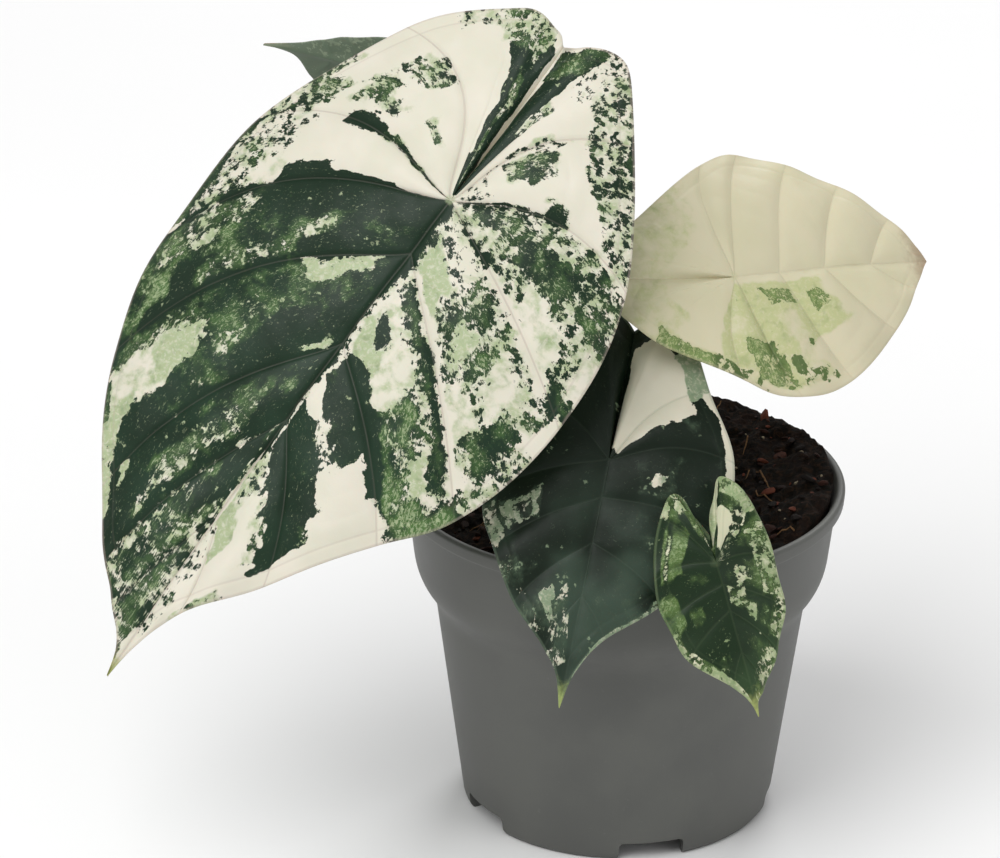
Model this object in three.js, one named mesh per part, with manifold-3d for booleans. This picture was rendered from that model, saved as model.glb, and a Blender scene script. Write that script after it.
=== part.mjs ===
// A dragon scale alocasia with cream variegation in a round nursery pot.
// Millimetres, +Z up. The origin is on the pot's axis, on the surface that the pot stands on.
// Seen from -Y, the large leaf leans to the left front and hangs with its tip down.
import * as THREE from "three";
import { mergeVertices } from "three/addons/utils/BufferGeometryUtils.js";
import Module from "manifold-3d";

const wasm = await Module();
wasm.setup();

// Clearance between pieces that touch in the real plant.
const GAP = 0.3;

// Pot: outside radii and heights.
const POT_SIDES = 60;
const POT_HEIGHT = 93.5;
const LIP_R = 60;
const LIP_HEIGHT = 4;
const BAND_TOP_R = 57.7;
const BAND_BOTTOM_R = 55.6;
const BAND_BOTTOM_Z = 71;
const NECK_R = 50;
const NECK_Z = 60;
const FOOT_R = 41.9;
const FOOT_WIDTH = 3.4;
const WALL = 1.6;

// Pot: raised floor, pad in the middle, notches in the foot and drain holes.
const FLOOR_Z = 5.5;
const PAD_R = 13;
const NOTCHES = 5;
const NOTCH_ANGLE = 24;
const FIRST_NOTCH = 12;
const DRAIN_HOLES = 10;
const DRAIN_HOLE_R = 3.5;
const DRAIN_RING_R = 27;

// Soil: filled to a little under the lip, slightly heaped in the middle.
const SOIL_EDGE_Z = 88;
const SOIL_HEAP = 3;
const SOIL_SIDES = 36;
const LUMPS = 70;
const LUMP_R = [2, 4.4];

// Crown: the short stem that every stalk grows from.
const CROWN_R = 9.5;
const CROWN_CENTRE_Z = 88;
const CROWN_BOTTOM_Z = 66;

// Blades: thickness, and the steps that their faces are cut into.
const BLADE_THICKNESS = 1;
const MIDRIB_DEPTH = 1.6;

// Each blade lies in its own axes: the stalk meets it at (0, 0), +Y runs down the midrib to the
// tip and +X is to the viewer's right when the tip points up. A row of veins holds the distance
// along the midrib where a pair of veins starts, then the end and the bow of the +X vein, then
// the same for the -X vein. The first row is the line where the two back lobes meet, and the
// last one is the tip.
const BLADES = {
  large: {
    at: [-46, -30, 186], tip: [-0.603, -0.362, -0.711], face: [-0.228, -0.779, 0.584],
    arch: 0.42, droop: 0.06, back: 0.15, fold: 1.5, crease: 3, puff: 2.6, wave: 1,
    stepsBetweenVeins: 3, stepsAlongVein: 8, colour: 0x6f8658,
    veins: [
      [0, [2, -49], 0, [2, -49], 0],
      [0, [7, -52], 0, [-3, -53], 0],
      [0, [19, -51], 0.03, [-14, -55], 0.03],
      [0, [41, -30], 0.2, [-29, -39], 0.14],
      [0, [61, 11], 0.14, [-50, -8], 0.14],
      [0, [63, 51], 0.12, [-57, 30], 0.03],
      [17, [54, 83], 0.1, [-50, 65], 0.03],
      [46, [32, 113], 0.08, [-38, 82], 0.05],
      [70, [18, 128], 0.05, [-21, 108], 0.06],
      [100, [9, 136], 0.02, [-7, 127], 0.05],
      [137, [2.5, 143], 0, [-2, 140], 0],
      [151, [0, 151], 0, [0, 151], 0],
    ],
  },
  right: {
    at: [28, -14, 158.5], tip: [0.885, 0.46, -0.068], face: [0.364, -0.593, 0.718],
    arch: 0.5, droop: 0.15, back: 0.3, fold: 1.2, crease: 2, puff: 1.2, wave: 0.6,
    stepsBetweenVeins: 2, stepsAlongVein: 6, colour: 0xd5cfb0,
    veins: [
      [0, [-4, -29], 0, [-4, -29], 0],
      [0, [4, -34], 0, [-12, -34], 0],
      [0, [14, -27], 0.04, [-22, -19], 0.05],
      [0, [28, -5], 0.1, [-35, 4], 0.1],
      [0, [34, 11], 0.05, [-37, 16], 0.05],
      [14, [31, 28], 0.05, [-32, 29], 0.05],
      [28, [19, 45], 0.05, [-24, 42], 0.05],
      [43, [8, 55], 0.04, [-13, 54], 0.04],
      [55, [2, 60], 0, [-4, 60], 0],
      [62, [0, 62], 0, [0, 62], 0],
    ],
  },
  centre: {
    at: [-4.6, -47.5, 121.1], tip: [-0.189, -0.583, -0.79], face: [0.02, -0.8, 0.6],
    arch: 0.4, droop: 0.2, back: 0.5, fold: 1.5, crease: 3, puff: 1.6, wave: 0.8,
    stepsBetweenVeins: 2, stepsAlongVein: 6, colour: 0x2c3a33,
    veins: [
      [0, [0, -36], 0, [0, -36], 0],
      [0, [6, -41], 0, [-6, -42], 0],
      [0, [14, -39], 0.04, [-13, -40], 0.03],
      [0, [26, -12], 0.12, [-22, -24], 0.1],
      [0, [30, 15], 0.05, [-32, -6], 0.1],
      [10, [25, 28], 0.05, [-32, 13], 0.05],
      [22, [17, 41], 0.05, [-21, 34], 0.05],
      [36, [7, 51], 0.04, [-8, 46], 0.04],
      [50, [2.5, 57], 0, [-2, 56], 0],
      [65, [0, 65], 0, [0, 65], 0],
    ],
  },
  small: {
    at: [22.9, -68, 101.7], tip: [0.302, -0.346, -0.888], face: [0.183, -0.893, 0.41],
    arch: 0.6, droop: 0.3, back: 0.8, fold: -4, crease: 1, puff: 0.8, wave: 0.6,
    stepsBetweenVeins: 2, stepsAlongVein: 5, colour: 0x55743f,
    veins: [
      [0, [-0.5, -6], 0, [-0.5, -6], 0],
      [0, [1.5, -13], 0, [-4, -14], 0],
      [0, [4, -19.5], 0, [-9.5, -20], 0],
      [0, [9.5, -15], 0.05, [-15, -11], 0.05],
      [0, [16, 0], 0.1, [-16, 4], 0.1],
      [6, [16, 12], 0.05, [-15, 17], 0.05],
      [13, [13, 23], 0.05, [-10, 27], 0.05],
      [24, [4, 33], 0.04, [-4, 35], 0.04],
      [36, [1, 38], 0, [-1, 38], 0],
      [42, [0, 42], 0, [0, 42], 0],
    ],
  },
  back: {
    at: [-52.5, 28, 196.5], tip: [-0.954, 0.138, 0.267], face: [0.215, 0.933, 0.286],
    arch: 0.5, droop: 0.3, back: 0.4, fold: 1, crease: 1.5, puff: 1, wave: 0.6,
    stepsBetweenVeins: 2, stepsAlongVein: 5, colour: 0x5f6f5a,
    veins: [
      [0, [0, -14], 0, [0, -14], 0],
      [0, [4, -19], 0, [-4, -18], 0],
      [0, [12, -17], 0.04, [-10, -13], 0.04],
      [0, [20, -4], 0.1, [-14, -3], 0.08],
      [0, [22, 9], 0.05, [-12, 8], 0.05],
      [8, [19, 19], 0.05, [-9.5, 16], 0.05],
      [17, [13, 26], 0.05, [-7, 24], 0.05],
      [26, [8, 31], 0.04, [-4.5, 30], 0.04],
      [35, [2, 36.5], 0, [-2, 36], 0],
      [44.5, [0, 44.5], 0, [0, 44.5], 0],
    ],
  },
};

// Stalks: the way each leaves the crown, the points it passes, and its radius at foot and top. A
// slant of 0 meets the blade square on, and a slant of 1 comes in from under the back lobes.
const STALK_SIDES = 9;
const STALKS = {
  large: { leaves: [-0.5, -0.05, 0.86], through: [[-14, 0, 125], [-30, -8, 160]], r: [3.4, 2.2], slant: 0 },
  right: { leaves: [0.55, 0.1, 0.83], through: [[13, 2, 118], [23, 0, 140]], r: [3, 1.8], slant: 0 },
  centre: { leaves: [-0.2, -0.72, 0.66], through: [[-4, -22, 108]], r: [2.8, 1.7], slant: 0 },
  small: { leaves: [0.5, -0.62, 0.6], through: [[20, -26, 102], [30, -50, 103]], r: [2.5, 1.3], slant: 0 },
  back: { leaves: [-0.15, 0.62, 0.77], through: [[-8, 14, 125], [-22, 17, 160]], r: [3, 1.8], slant: 1 },
};

const group = new THREE.Group();

// Small helpers.

// A repeatable source of numbers from 0 to 1.
function seededRandom(seed) {
  let state = seed;
  return () => {
    state = (Math.imul(state, 1664525) + 1013904223) >>> 0;
    return state / 4294967296;
  };
}

function addPiece(name, geometry, colour, roughness) {
  const material = new THREE.MeshStandardMaterial({ color: colour, roughness, metalness: 0 });
  const mesh = new THREE.Mesh(geometry, material);
  mesh.name = name;
  group.add(mesh);
}

// A closed geometry with its shared corners merged, and no triangle of zero width.
function welded(geometry) {
  const bare = geometry.clone();
  bare.deleteAttribute("normal");
  bare.deleteAttribute("uv");
  const merged = mergeVertices(bare, 1e-4);
  const corners = merged.index.array;
  const kept = [];
  for (let i = 0; i < corners.length; i += 3) {
    const [a, b, c] = corners.slice(i, i + 3);
    if (a !== b && b !== c && c !== a) kept.push(a, b, c);
  }
  return merged.setIndex(kept);
}

function solidOf(geometry) {
  const mesh = welded(geometry);
  return new wasm.Manifold(
    new wasm.Mesh({
      numProp: 3,
      vertProperties: mesh.attributes.position.array,
      triVerts: new Uint32Array(mesh.index.array),
    }),
  );
}

function geometryOf(solid) {
  const mesh = solid.getMesh();
  const geometry = new THREE.BufferGeometry();
  geometry.setAttribute("position", new THREE.BufferAttribute(mesh.vertProperties, 3));
  geometry.setIndex(new THREE.BufferAttribute(mesh.triVerts, 1));
  return geometry;
}

// A solid turned about Z from a profile of [radius, height] points, lowest first on the outside.
function turned(profile, sides) {
  const points = profile.map(([r, z]) => new THREE.Vector2(r, z));
  return new THREE.LatheGeometry(points, sides).rotateX(Math.PI / 2);
}

// Pot.

// The inside of the wall at height z.
function potInnerR(z) {
  const slope = (NECK_R - FOOT_R) / NECK_Z;
  return FOOT_R + slope * z - WALL;
}

function potProfile() {
  const bandInner = BAND_BOTTOM_R - WALL;
  const lipInner = BAND_TOP_R - WALL + 1;
  return [
    [0, 0],
    [PAD_R, 0],
    [PAD_R + 2, FLOOR_Z],
    [FOOT_R - FOOT_WIDTH - 1, FLOOR_Z],
    [FOOT_R - FOOT_WIDTH, 0],
    [FOOT_R - 1.2, 0],
    [FOOT_R + 0.2, 1.6],
    [NECK_R, NECK_Z],
    [NECK_R + 1.4, NECK_Z + 3],
    [BAND_BOTTOM_R - 1.4, BAND_BOTTOM_Z - 4],
    [BAND_BOTTOM_R, BAND_BOTTOM_Z],
    [BAND_TOP_R, POT_HEIGHT - LIP_HEIGHT - 1],
    [LIP_R - 0.5, POT_HEIGHT - LIP_HEIGHT],
    [LIP_R, POT_HEIGHT - LIP_HEIGHT + 1],
    [LIP_R, POT_HEIGHT - 0.8],
    [LIP_R - 0.6, POT_HEIGHT],
    [LIP_R - 1.6, POT_HEIGHT],
    [lipInner, POT_HEIGHT - 1.5],
    [BAND_TOP_R - WALL, POT_HEIGHT - LIP_HEIGHT],
    [bandInner, BAND_BOTTOM_Z],
    [bandInner - 1.6, BAND_BOTTOM_Z - 3.4],
    [NECK_R - 0.4, NECK_Z + 3.6],
    [NECK_R - WALL, NECK_Z],
    [potInnerR(FLOOR_Z + WALL), FLOOR_Z + WALL],
    [PAD_R + 0.9, FLOOR_Z + WALL],
    [PAD_R - 1.2, WALL],
    [0, WALL],
  ];
}

// A wedge that cuts one notch through the foot ring, rounded at its upper corners.
function notchCutter(angle) {
  const outline = new THREE.Shape();
  const half = Math.tan(THREE.MathUtils.degToRad(NOTCH_ANGLE / 2)) * FOOT_R;
  const corner = 1.5;
  outline.moveTo(-half, -2);
  outline.lineTo(half, -2);
  outline.lineTo(half, FLOOR_Z - 0.1 - corner);
  outline.quadraticCurveTo(half, FLOOR_Z - 0.1, half - corner, FLOOR_Z - 0.1);
  outline.lineTo(-half + corner, FLOOR_Z - 0.1);
  outline.quadraticCurveTo(-half, FLOOR_Z - 0.1, -half, FLOOR_Z - 0.1 - corner);
  const length = 12;
  const cutter = new THREE.ExtrudeGeometry(outline, {
    depth: length,
    bevelEnabled: false,
    curveSegments: 3,
  });
  cutter.rotateX(Math.PI / 2);
  cutter.translate(0, -(FOOT_R - length / 2), 0);
  return cutter.rotateZ(THREE.MathUtils.degToRad(angle));
}

function drainHoleCutter(angle) {
  const cutter = new THREE.CylinderGeometry(DRAIN_HOLE_R, DRAIN_HOLE_R, 6, 16);
  cutter.rotateX(Math.PI / 2);
  cutter.translate(0, -DRAIN_RING_R, FLOOR_Z + WALL / 2);
  return cutter.rotateZ(THREE.MathUtils.degToRad(angle));
}

function makePot() {
  let pot = solidOf(turned(potProfile(), POT_SIDES));
  for (let i = 0; i < NOTCHES; i += 1) {
    pot = pot.subtract(solidOf(notchCutter(FIRST_NOTCH + (360 / NOTCHES) * i)));
  }
  for (let i = 0; i < DRAIN_HOLES; i += 1) {
    pot = pot.subtract(solidOf(drainHoleCutter((360 / DRAIN_HOLES) * i)));
  }
  addPiece("pot", geometryOf(pot), 0x6b6b69, 0.6);
}

// Soil.

function soilTopZ(r) {
  return SOIL_EDGE_Z + SOIL_HEAP * Math.cos((Math.min(r / LIP_R, 1) * Math.PI) / 2);
}

function soilProfile() {
  const bandR = BAND_TOP_R - WALL - 0.4;
  const fit = GAP + 0.2;
  const low = FLOOR_Z + WALL + GAP;
  return [
    [0, low],
    [potInnerR(low) - fit, low],
    [NECK_R - WALL - fit, NECK_Z],
    [NECK_R - 0.4 - fit, NECK_Z + 3.8],
    [BAND_BOTTOM_R - WALL - 1.6 - fit, BAND_BOTTOM_Z - 3.2],
    [BAND_BOTTOM_R - WALL - fit, BAND_BOTTOM_Z + 0.3],
    [bandR - fit, SOIL_EDGE_Z - 0.5],
    [bandR - 2, soilTopZ(bandR)],
    [30, soilTopZ(30)],
    [0, soilTopZ(0)],
  ];
}

// Lumps of bark and peat that stand out of the surface, kept off the crown and the wall.
function soilLumps() {
  const random = seededRandom(7);
  const lumps = [];
  const nearest = CROWN_R + LUMP_R[1] + 1;
  const furthest = BAND_TOP_R - WALL - LUMP_R[1] - 1.5;
  for (let i = 0; i < LUMPS; i += 1) {
    const size = LUMP_R[0] + (LUMP_R[1] - LUMP_R[0]) * random() ** 2;
    const r = nearest + (furthest - nearest) * Math.sqrt(random());
    const angle = random() * 2 * Math.PI;
    const lump = new THREE.IcosahedronGeometry(size, 0);
    lump.scale(1, 0.6 + 0.4 * random(), 0.5 + 0.3 * random());
    lump.rotateX(random() * 0.8);
    lump.rotateZ(random() * Math.PI);
    lump.translate(r * Math.cos(angle), r * Math.sin(angle), soilTopZ(r));
    lumps.push(lump);
  }
  return lumps;
}

function makeSoil() {
  let soil = solidOf(turned(soilProfile(), SOIL_SIDES));
  for (const lump of soilLumps()) soil = soil.add(solidOf(lump));
  const depth = SOIL_EDGE_Z + SOIL_HEAP + 6 - CROWN_BOTTOM_Z + GAP;
  const hole = new THREE.CylinderGeometry(CROWN_R + GAP + 0.1, CROWN_R + GAP + 0.1, depth, 28);
  hole.rotateX(Math.PI / 2);
  hole.translate(0, 0, CROWN_BOTTOM_Z - GAP + depth / 2);
  soil = soil.subtract(solidOf(hole));
  addPiece("soil", geometryOf(soil), 0x1d1611, 1);
}

// Crown: a short upright stem with a round top and the rings that old leaves left on it.
function makeCrown() {
  const low = CROWN_BOTTOM_Z;
  const profile = [[0, low], [CROWN_R - 2.5, low], [CROWN_R - 1, low + 2]];
  for (let z = low + 6; z < CROWN_CENTRE_Z; z += 7) {
    profile.push([CROWN_R, z], [CROWN_R - 0.7, z + 1]);
  }
  for (let step = 0; step <= 4; step += 1) {
    const angle = (step / 4) * (Math.PI / 2);
    profile.push([CROWN_R * Math.cos(angle), CROWN_CENTRE_Z + CROWN_R * Math.sin(angle)]);
  }
  profile[profile.length - 1][0] = 0;
  addPiece("crown", geometryOf(solidOf(turned(profile, 20))), 0x7d8a5a, 0.7);
}

// Blades.

// The blade's own axes in the world: where the stalk meets it, and its X, Y and Z.
function bladeFrame(blade) {
  const y = new THREE.Vector3(...blade.tip).normalize();
  const z = new THREE.Vector3(...blade.face);
  z.addScaledVector(y, -z.dot(y)).normalize();
  const x = new THREE.Vector3().crossVectors(y, z);
  return new THREE.Matrix4().makeBasis(x, y, z).setPosition(...blade.at);
}

// A smooth run through the values in a list, at a place counted in list entries.
function through(values, place) {
  const last = values.length - 1;
  const i = Math.min(Math.floor(place), last - 1);
  const t = place - i;
  const a = values[Math.max(i - 1, 0)];
  const b = values[i];
  const c = values[i + 1];
  const d = values[Math.min(i + 2, last)];
  const bend = 2 * a - 5 * b + 4 * c - d;
  const twist = 3 * b - a - 3 * c + d;
  return 0.5 * (2 * b + (c - a) * t + bend * t ** 2 + twist * t ** 3);
}

function straightThrough(values, place) {
  const i = Math.min(Math.floor(place), values.length - 2);
  return values[i] + (values[i + 1] - values[i]) * (place - i);
}

// A point of the blade, flat: v counts veins from the back notch to the tip, s runs from the
// midrib (0) to the margin (1), and side is 1 for +X or -1 for -X.
function flatPoint(blade, v, s, side) {
  const end = side > 0 ? 1 : 3;
  const start = straightThrough(blade.veins.map((row) => row[0]), v);
  const dx = through(blade.veins.map((row) => row[end][0]), v);
  const dy = through(blade.veins.map((row) => row[end][1]), v) - start;
  const bow = straightThrough(blade.veins.map((row) => row[end + 1]), v);
  const bend = (bow * 5.2 * s * s * (1 - s)) / (s + 0.15);
  return [dx * s + bend * side * dy, start + dy * s - bend * side * dx];
}

// How far the blade's middle surface stands off flat there.
function relief(blade, v, s, side, x, y) {
  const last = blade.veins.length - 1;
  const sag = (blade.arch * x * x + (y > 0 ? blade.droop : blade.back) * y * y) / 100;
  const midrib = blade.fold * (1 - Math.exp(-Math.abs(x) / 8));
  const fade = Math.min(Math.max((last - 1 - v) / 1.5, 0), 1);
  const betweenVeins = 1 - Math.abs(2 * (v - Math.floor(v)) - 1) ** 1.7;
  const puff = blade.puff * betweenVeins * s ** 0.7 * (1 - s ** 5) * fade;
  const notch = blade.crease * Math.exp(-((v / 0.45) ** 2)) * Math.sin(Math.PI * s ** 0.8) ** 0.7;
  const phase = side > 0 ? 0 : 1.5;
  const wave = blade.wave * Math.sin(v * 1.6 * Math.PI + phase) * s ** 4 * fade;
  return midrib - sag + puff - (notch || 0) + wave;
}

// The two faces share one net of triangles, one thickness apart, and a wall closes the margin.
function bladeGeometry(blade) {
  const veins = blade.veins;
  const rows = (veins.length - 1) * blade.stepsBetweenVeins;
  const columns = blade.stepsAlongVein;
  const points = [];
  const found = new Map();
  const corner = (i, j, side) => {
    const v = i / blade.stepsBetweenVeins;
    const s = j / columns;
    const start = straightThrough(veins.map((row) => row[0]), v);
    let key = [side, i, j].join();
    if (i === rows) key = "tip";
    else if (j === 0) key = "midrib " + start.toFixed(3);
    else if (i === 0) key = "notch " + j;
    if (!found.has(key)) {
      const [x, y] = key === "tip" ? [0, start] : flatPoint(blade, v, s, side);
      const z = relief(blade, key.startsWith("midrib 0.") && start === 0 ? 0 : v, s, side, x, y);
      const thinning = Math.min(1, Math.max(0.2, (veins.length - v) / 4));
      const rib = MIDRIB_DEPTH * Math.exp(-((x / 2) ** 2)) * thinning;
      found.set(key, points.length);
      points.push([x, y, z, rib]);
    }
    return found.get(key);
  };
  const faces = [];
  for (const side of [1, -1]) {
    for (let i = 0; i < rows; i += 1) {
      for (let j = 0; j < columns; j += 1) {
        const a = corner(i, j, side);
        const b = corner(i, j + 1, side);
        const c = corner(i + 1, j + 1, side);
        const d = corner(i + 1, j, side);
        for (const [p, q, r] of [[a, b, c], [a, c, d]]) {
          if (p !== q && q !== r && r !== p) faces.push(side > 0 ? [p, q, r] : [r, q, p]);
        }
      }
    }
  }
  return thickened(points, faces).applyMatrix4(bladeFrame(blade));
}

function thickened(points, faces) {
  const count = points.length;
  const half = BLADE_THICKNESS / 2;
  const position = new Float32Array(count * 6);
  points.forEach(([x, y, z, rib], i) => {
    position.set([x, y, z + half], i * 3);
    position.set([x, y, z - half - rib], (count + i) * 3);
  });
  const edges = new Set(faces.flatMap(([a, b, c]) => [a + "," + b, b + "," + c, c + "," + a]));
  const index = [];
  for (const [a, b, c] of faces) {
    index.push(a, b, c, count + c, count + b, count + a);
    for (const [p, q] of [[a, b], [b, c], [c, a]]) {
      if (!edges.has(q + "," + p)) index.push(q, p, count + p, q, count + p, count + q);
    }
  }
  const geometry = new THREE.BufferGeometry();
  geometry.setAttribute("position", new THREE.BufferAttribute(position, 3));
  geometry.setIndex(index);
  return geometry;
}

// Stalks.

// A stalk leaves the crown at right angles, bends through its points and meets the underside of
// its blade at right angles.
function stalkGeometry(stalk, blade) {
  const away = new THREE.Vector3(...stalk.leaves).normalize();
  const centre = new THREE.Vector3(0, 0, CROWN_CENTRE_Z);
  const foot = centre.clone().addScaledVector(away, CROWN_R + GAP + 0.1);
  const frame = bladeFrame(blade);
  const rib = MIDRIB_DEPTH + stalk.slant * stalk.r[1];
  const under = -(BLADE_THICKNESS / 2 + rib + 3 * GAP);
  const top = new THREE.Vector3(0, 0, under).applyMatrix4(frame);
  const belowTop = new THREE.Vector3(0, -8 * stalk.slant, under - 8).applyMatrix4(frame);
  const path = new THREE.CatmullRomCurve3([
    foot,
    foot.clone().addScaledVector(away, 6),
    ...stalk.through.map((p) => new THREE.Vector3(...p)),
    belowTop,
    top,
  ]);
  const steps = Math.max(10, Math.round(path.getLength() / 5));
  const section = new THREE.Shape(new THREE.EllipseCurve(0, 0, 1, 1).getPoints(STALK_SIDES).slice(1));
  const tube = new THREE.ExtrudeGeometry(section, { steps, extrudePath: path, bevelEnabled: false });
  return tapered(tube, path.getSpacedPoints(steps), stalk.r);
}

// Scales each ring of a tube of radius 1 about its own centre.
function tapered(tube, centres, [footR, topR]) {
  const geometry = welded(tube);
  const position = geometry.attributes.position;
  const point = new THREE.Vector3();
  for (let i = 0; i < position.count; i += 1) {
    point.fromBufferAttribute(position, i);
    let ring = 0;
    centres.forEach((centre, k) => {
      if (centre.distanceTo(point) < centres[ring].distanceTo(point)) ring = k;
    });
    const along = ring / (centres.length - 1);
    const radius = topR + (footR - topR) * (1 - along) ** 1.6;
    point.sub(centres[ring]).multiplyScalar(radius).add(centres[ring]);
    position.setXYZ(i, point.x, point.y, point.z);
  }
  return geometry;
}

makePot();
makeSoil();
makeCrown();
for (const [name, blade] of Object.entries(BLADES)) {
  addPiece("blade_" + name, bladeGeometry(blade), blade.colour, 0.5);
  addPiece("stalk_" + name, stalkGeometry(STALKS[name], blade), 0x8a9668, 0.55);
}

export default group;
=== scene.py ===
import math

import bmesh
import bpy
import numpy as np
from mathutils import Matrix, Vector


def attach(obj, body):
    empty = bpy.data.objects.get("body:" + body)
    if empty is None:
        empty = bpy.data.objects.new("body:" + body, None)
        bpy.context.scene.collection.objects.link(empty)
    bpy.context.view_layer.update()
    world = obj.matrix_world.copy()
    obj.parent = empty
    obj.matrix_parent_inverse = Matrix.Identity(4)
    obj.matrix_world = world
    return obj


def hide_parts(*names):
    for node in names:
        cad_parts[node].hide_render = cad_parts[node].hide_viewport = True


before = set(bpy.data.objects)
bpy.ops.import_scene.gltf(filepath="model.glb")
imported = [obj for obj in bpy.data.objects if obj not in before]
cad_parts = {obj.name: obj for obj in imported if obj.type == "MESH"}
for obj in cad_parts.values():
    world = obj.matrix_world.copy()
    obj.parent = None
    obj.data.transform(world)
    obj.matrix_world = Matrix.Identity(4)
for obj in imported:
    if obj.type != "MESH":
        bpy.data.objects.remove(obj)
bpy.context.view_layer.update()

MM = 0.001

# The camera of the photo.
VIEW_ELEVATION = math.radians(24.3)
VIEW_ROLL = math.radians(0.48)
VIEW_DISTANCE = 1.5
VIEW_AIM = Vector((-0.0329, 0, 0.108))
VIEW_LENS = 201.8
VIEW_SENSOR = 36


def add_camera():
    camera = bpy.data.cameras.new("camera")
    camera.sensor_fit = "HORIZONTAL"
    camera.sensor_width = VIEW_SENSOR
    camera.lens = VIEW_LENS
    holder = bpy.data.objects.new("camera", camera)
    bpy.context.collection.objects.link(holder)
    right = Vector((1, 0, 0))
    back = Vector((0, -math.cos(VIEW_ELEVATION), math.sin(VIEW_ELEVATION)))
    up = back.cross(right)
    rolled_right = math.cos(VIEW_ROLL) * right + math.sin(VIEW_ROLL) * up
    rolled_up = math.cos(VIEW_ROLL) * up - math.sin(VIEW_ROLL) * right
    turn = Matrix((rolled_right, rolled_up, back)).transposed().to_4x4()
    holder.matrix_world = Matrix.Translation(VIEW_AIM + VIEW_DISTANCE * back) @ turn
    bpy.context.scene.camera = holder


class Shader:
    """A material under construction. Each call adds one node and gives its output."""

    def __init__(self, name):
        self.material = bpy.data.materials.new(name)
        self.material.use_nodes = True
        self.nodes = self.material.node_tree.nodes
        self.links = self.material.node_tree.links
        self.surface = self.nodes["Principled BSDF"]

    def set(self, socket, value):
        if isinstance(value, bpy.types.NodeSocket):
            self.links.new(value, socket)
        elif isinstance(value, tuple) and len(value) == 3 and socket.type == "RGBA":
            socket.default_value = (*value, 1)
        else:
            socket.default_value = value

    def node(self, kind, inputs, **settings):
        """Adds a node, fills its inputs, given by number or by name, and gives its outputs."""
        node = self.nodes.new("ShaderNode" + kind)
        for name, value in settings.items():
            setattr(node, name, value)
        for key, value in inputs.items():
            self.set(node.inputs[key], value)
        return node.outputs

    def attribute(self, name, output="Fac"):
        return self.node("Attribute", {}, attribute_name=name)[output]

    def position(self):
        return self.node("NewGeometry", {})["Position"]

    def position_mm(self):
        return self.scaled(self.position(), (1 / MM, 1 / MM, 1 / MM))

    def math(self, operation, a, b=0.0, c=0.0):
        return self.node("Math", {0: a, 1: b, 2: c}, operation=operation)[0]

    def minus(self, a, b):
        return self.math("SUBTRACT", a, b)

    def times(self, a, b):
        return self.math("MULTIPLY", a, b)

    def plus(self, base, value, weight):
        """The base with the weighted value added to it."""
        return self.math("MULTIPLY_ADD", value, weight, base)

    def ragged(self, value, *noises):
        """The value pushed up and down by noises, each given with how far it pushes."""
        for noise, reach in noises:
            value = self.plus(value, noise, reach)
        return self.minus(value, sum(reach for _, reach in noises) / 2)

    def scaled(self, vector, scale):
        return self.node("VectorMath", {0: vector, 1: scale}, operation="MULTIPLY")[0]

    def shifted(self, vector, offset):
        return self.node("VectorMath", {0: vector, 1: offset}, operation="ADD")[0]

    def length(self, vector):
        return self.node("VectorMath", {0: vector}, operation="LENGTH")["Value"]

    def noise(self, vector, scale, detail=3.0, roughness=0.5, distortion=0.0):
        """Noise from 0 to 1. The scale is one over the size of a feature."""
        values = {"Scale": scale, "Detail": detail, "Roughness": roughness, "Distortion": distortion}
        return self.node("TexNoise", {"Vector": vector, **values})["Fac"]

    def wobbled(self, vector, scale, reach):
        """The place moved about by a slow noise, to make round cells irregular."""
        wobble = self.node("TexNoise", {"Vector": vector, "Scale": scale})["Color"]
        return self.shifted(vector, self.scaled(wobble, (reach, reach, 0)))

    def cells(self, vector, scale):
        """Distance from the middle of a cell, in cell sizes, and the cell's own random number."""
        found = self.node("TexVoronoi", {"Vector": vector, "Scale": scale}, voronoi_dimensions="2D")
        return found["Distance"], found["Color"]

    def step(self, value, low, high, from_value=0.0, to_value=1.0):
        """Runs smoothly from from_value below low to to_value above high."""
        inputs = dict(enumerate((value, low, high, from_value, to_value)))
        return self.node("MapRange", inputs, interpolation_type="SMOOTHSTEP")[0]

    def mix(self, factor, a, b):
        """From colour a to colour b. The node's sockets for colours are numbers 6 and 7."""
        return self.node("Mix", {0: factor, 6: a, 7: b}, data_type="RGBA")[2]

    def bump(self, height, distance, strength=1.0):
        return self.node("Bump", {"Strength": strength, "Distance": distance, "Height": height})[0]

    def finish(self, **inputs):
        """Fills the surface's own inputs, given by name, and gives the material."""
        for name, value in inputs.items():
            self.set(self.surface.inputs[name.replace("_", " ")], value)
        return self.material


def srgb(r, g, b):
    """A colour as read off a screen, 0 to 255, in Blender's linear numbers."""
    return tuple(((c / 255 + 0.055) / 1.055) ** 2.4 if c > 10 else c / 3294 for c in (r, g, b))


def smooth_noise(x, y, size, seed):
    """Repeatable noise from -1 to 1 with features of one size."""
    cells = 256
    table = np.random.default_rng(seed).uniform(-1, 1, (cells, cells))
    u, v = np.asarray(x) / size, np.asarray(y) / size
    i, j = np.floor(u).astype(int), np.floor(v).astype(int)
    a, b = u - i, v - j
    a, b = a * a * (3 - 2 * a), b * b * (3 - 2 * b)
    i, j, k, l = i % cells, j % cells, (i + 1) % cells, (j + 1) % cells
    low = table[i, j] * (1 - a) + table[k, j] * a
    high = table[i, l] * (1 - a) + table[k, l] * a
    return low * (1 - b) + high * b


def layered_noise(x, y, size, seed, layers=3, keep=0.5):
    total = 0
    for layer in range(layers):
        total = total + keep**layer * smooth_noise(x, y, size / 2**layer, seed + layer)
    return total


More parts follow.
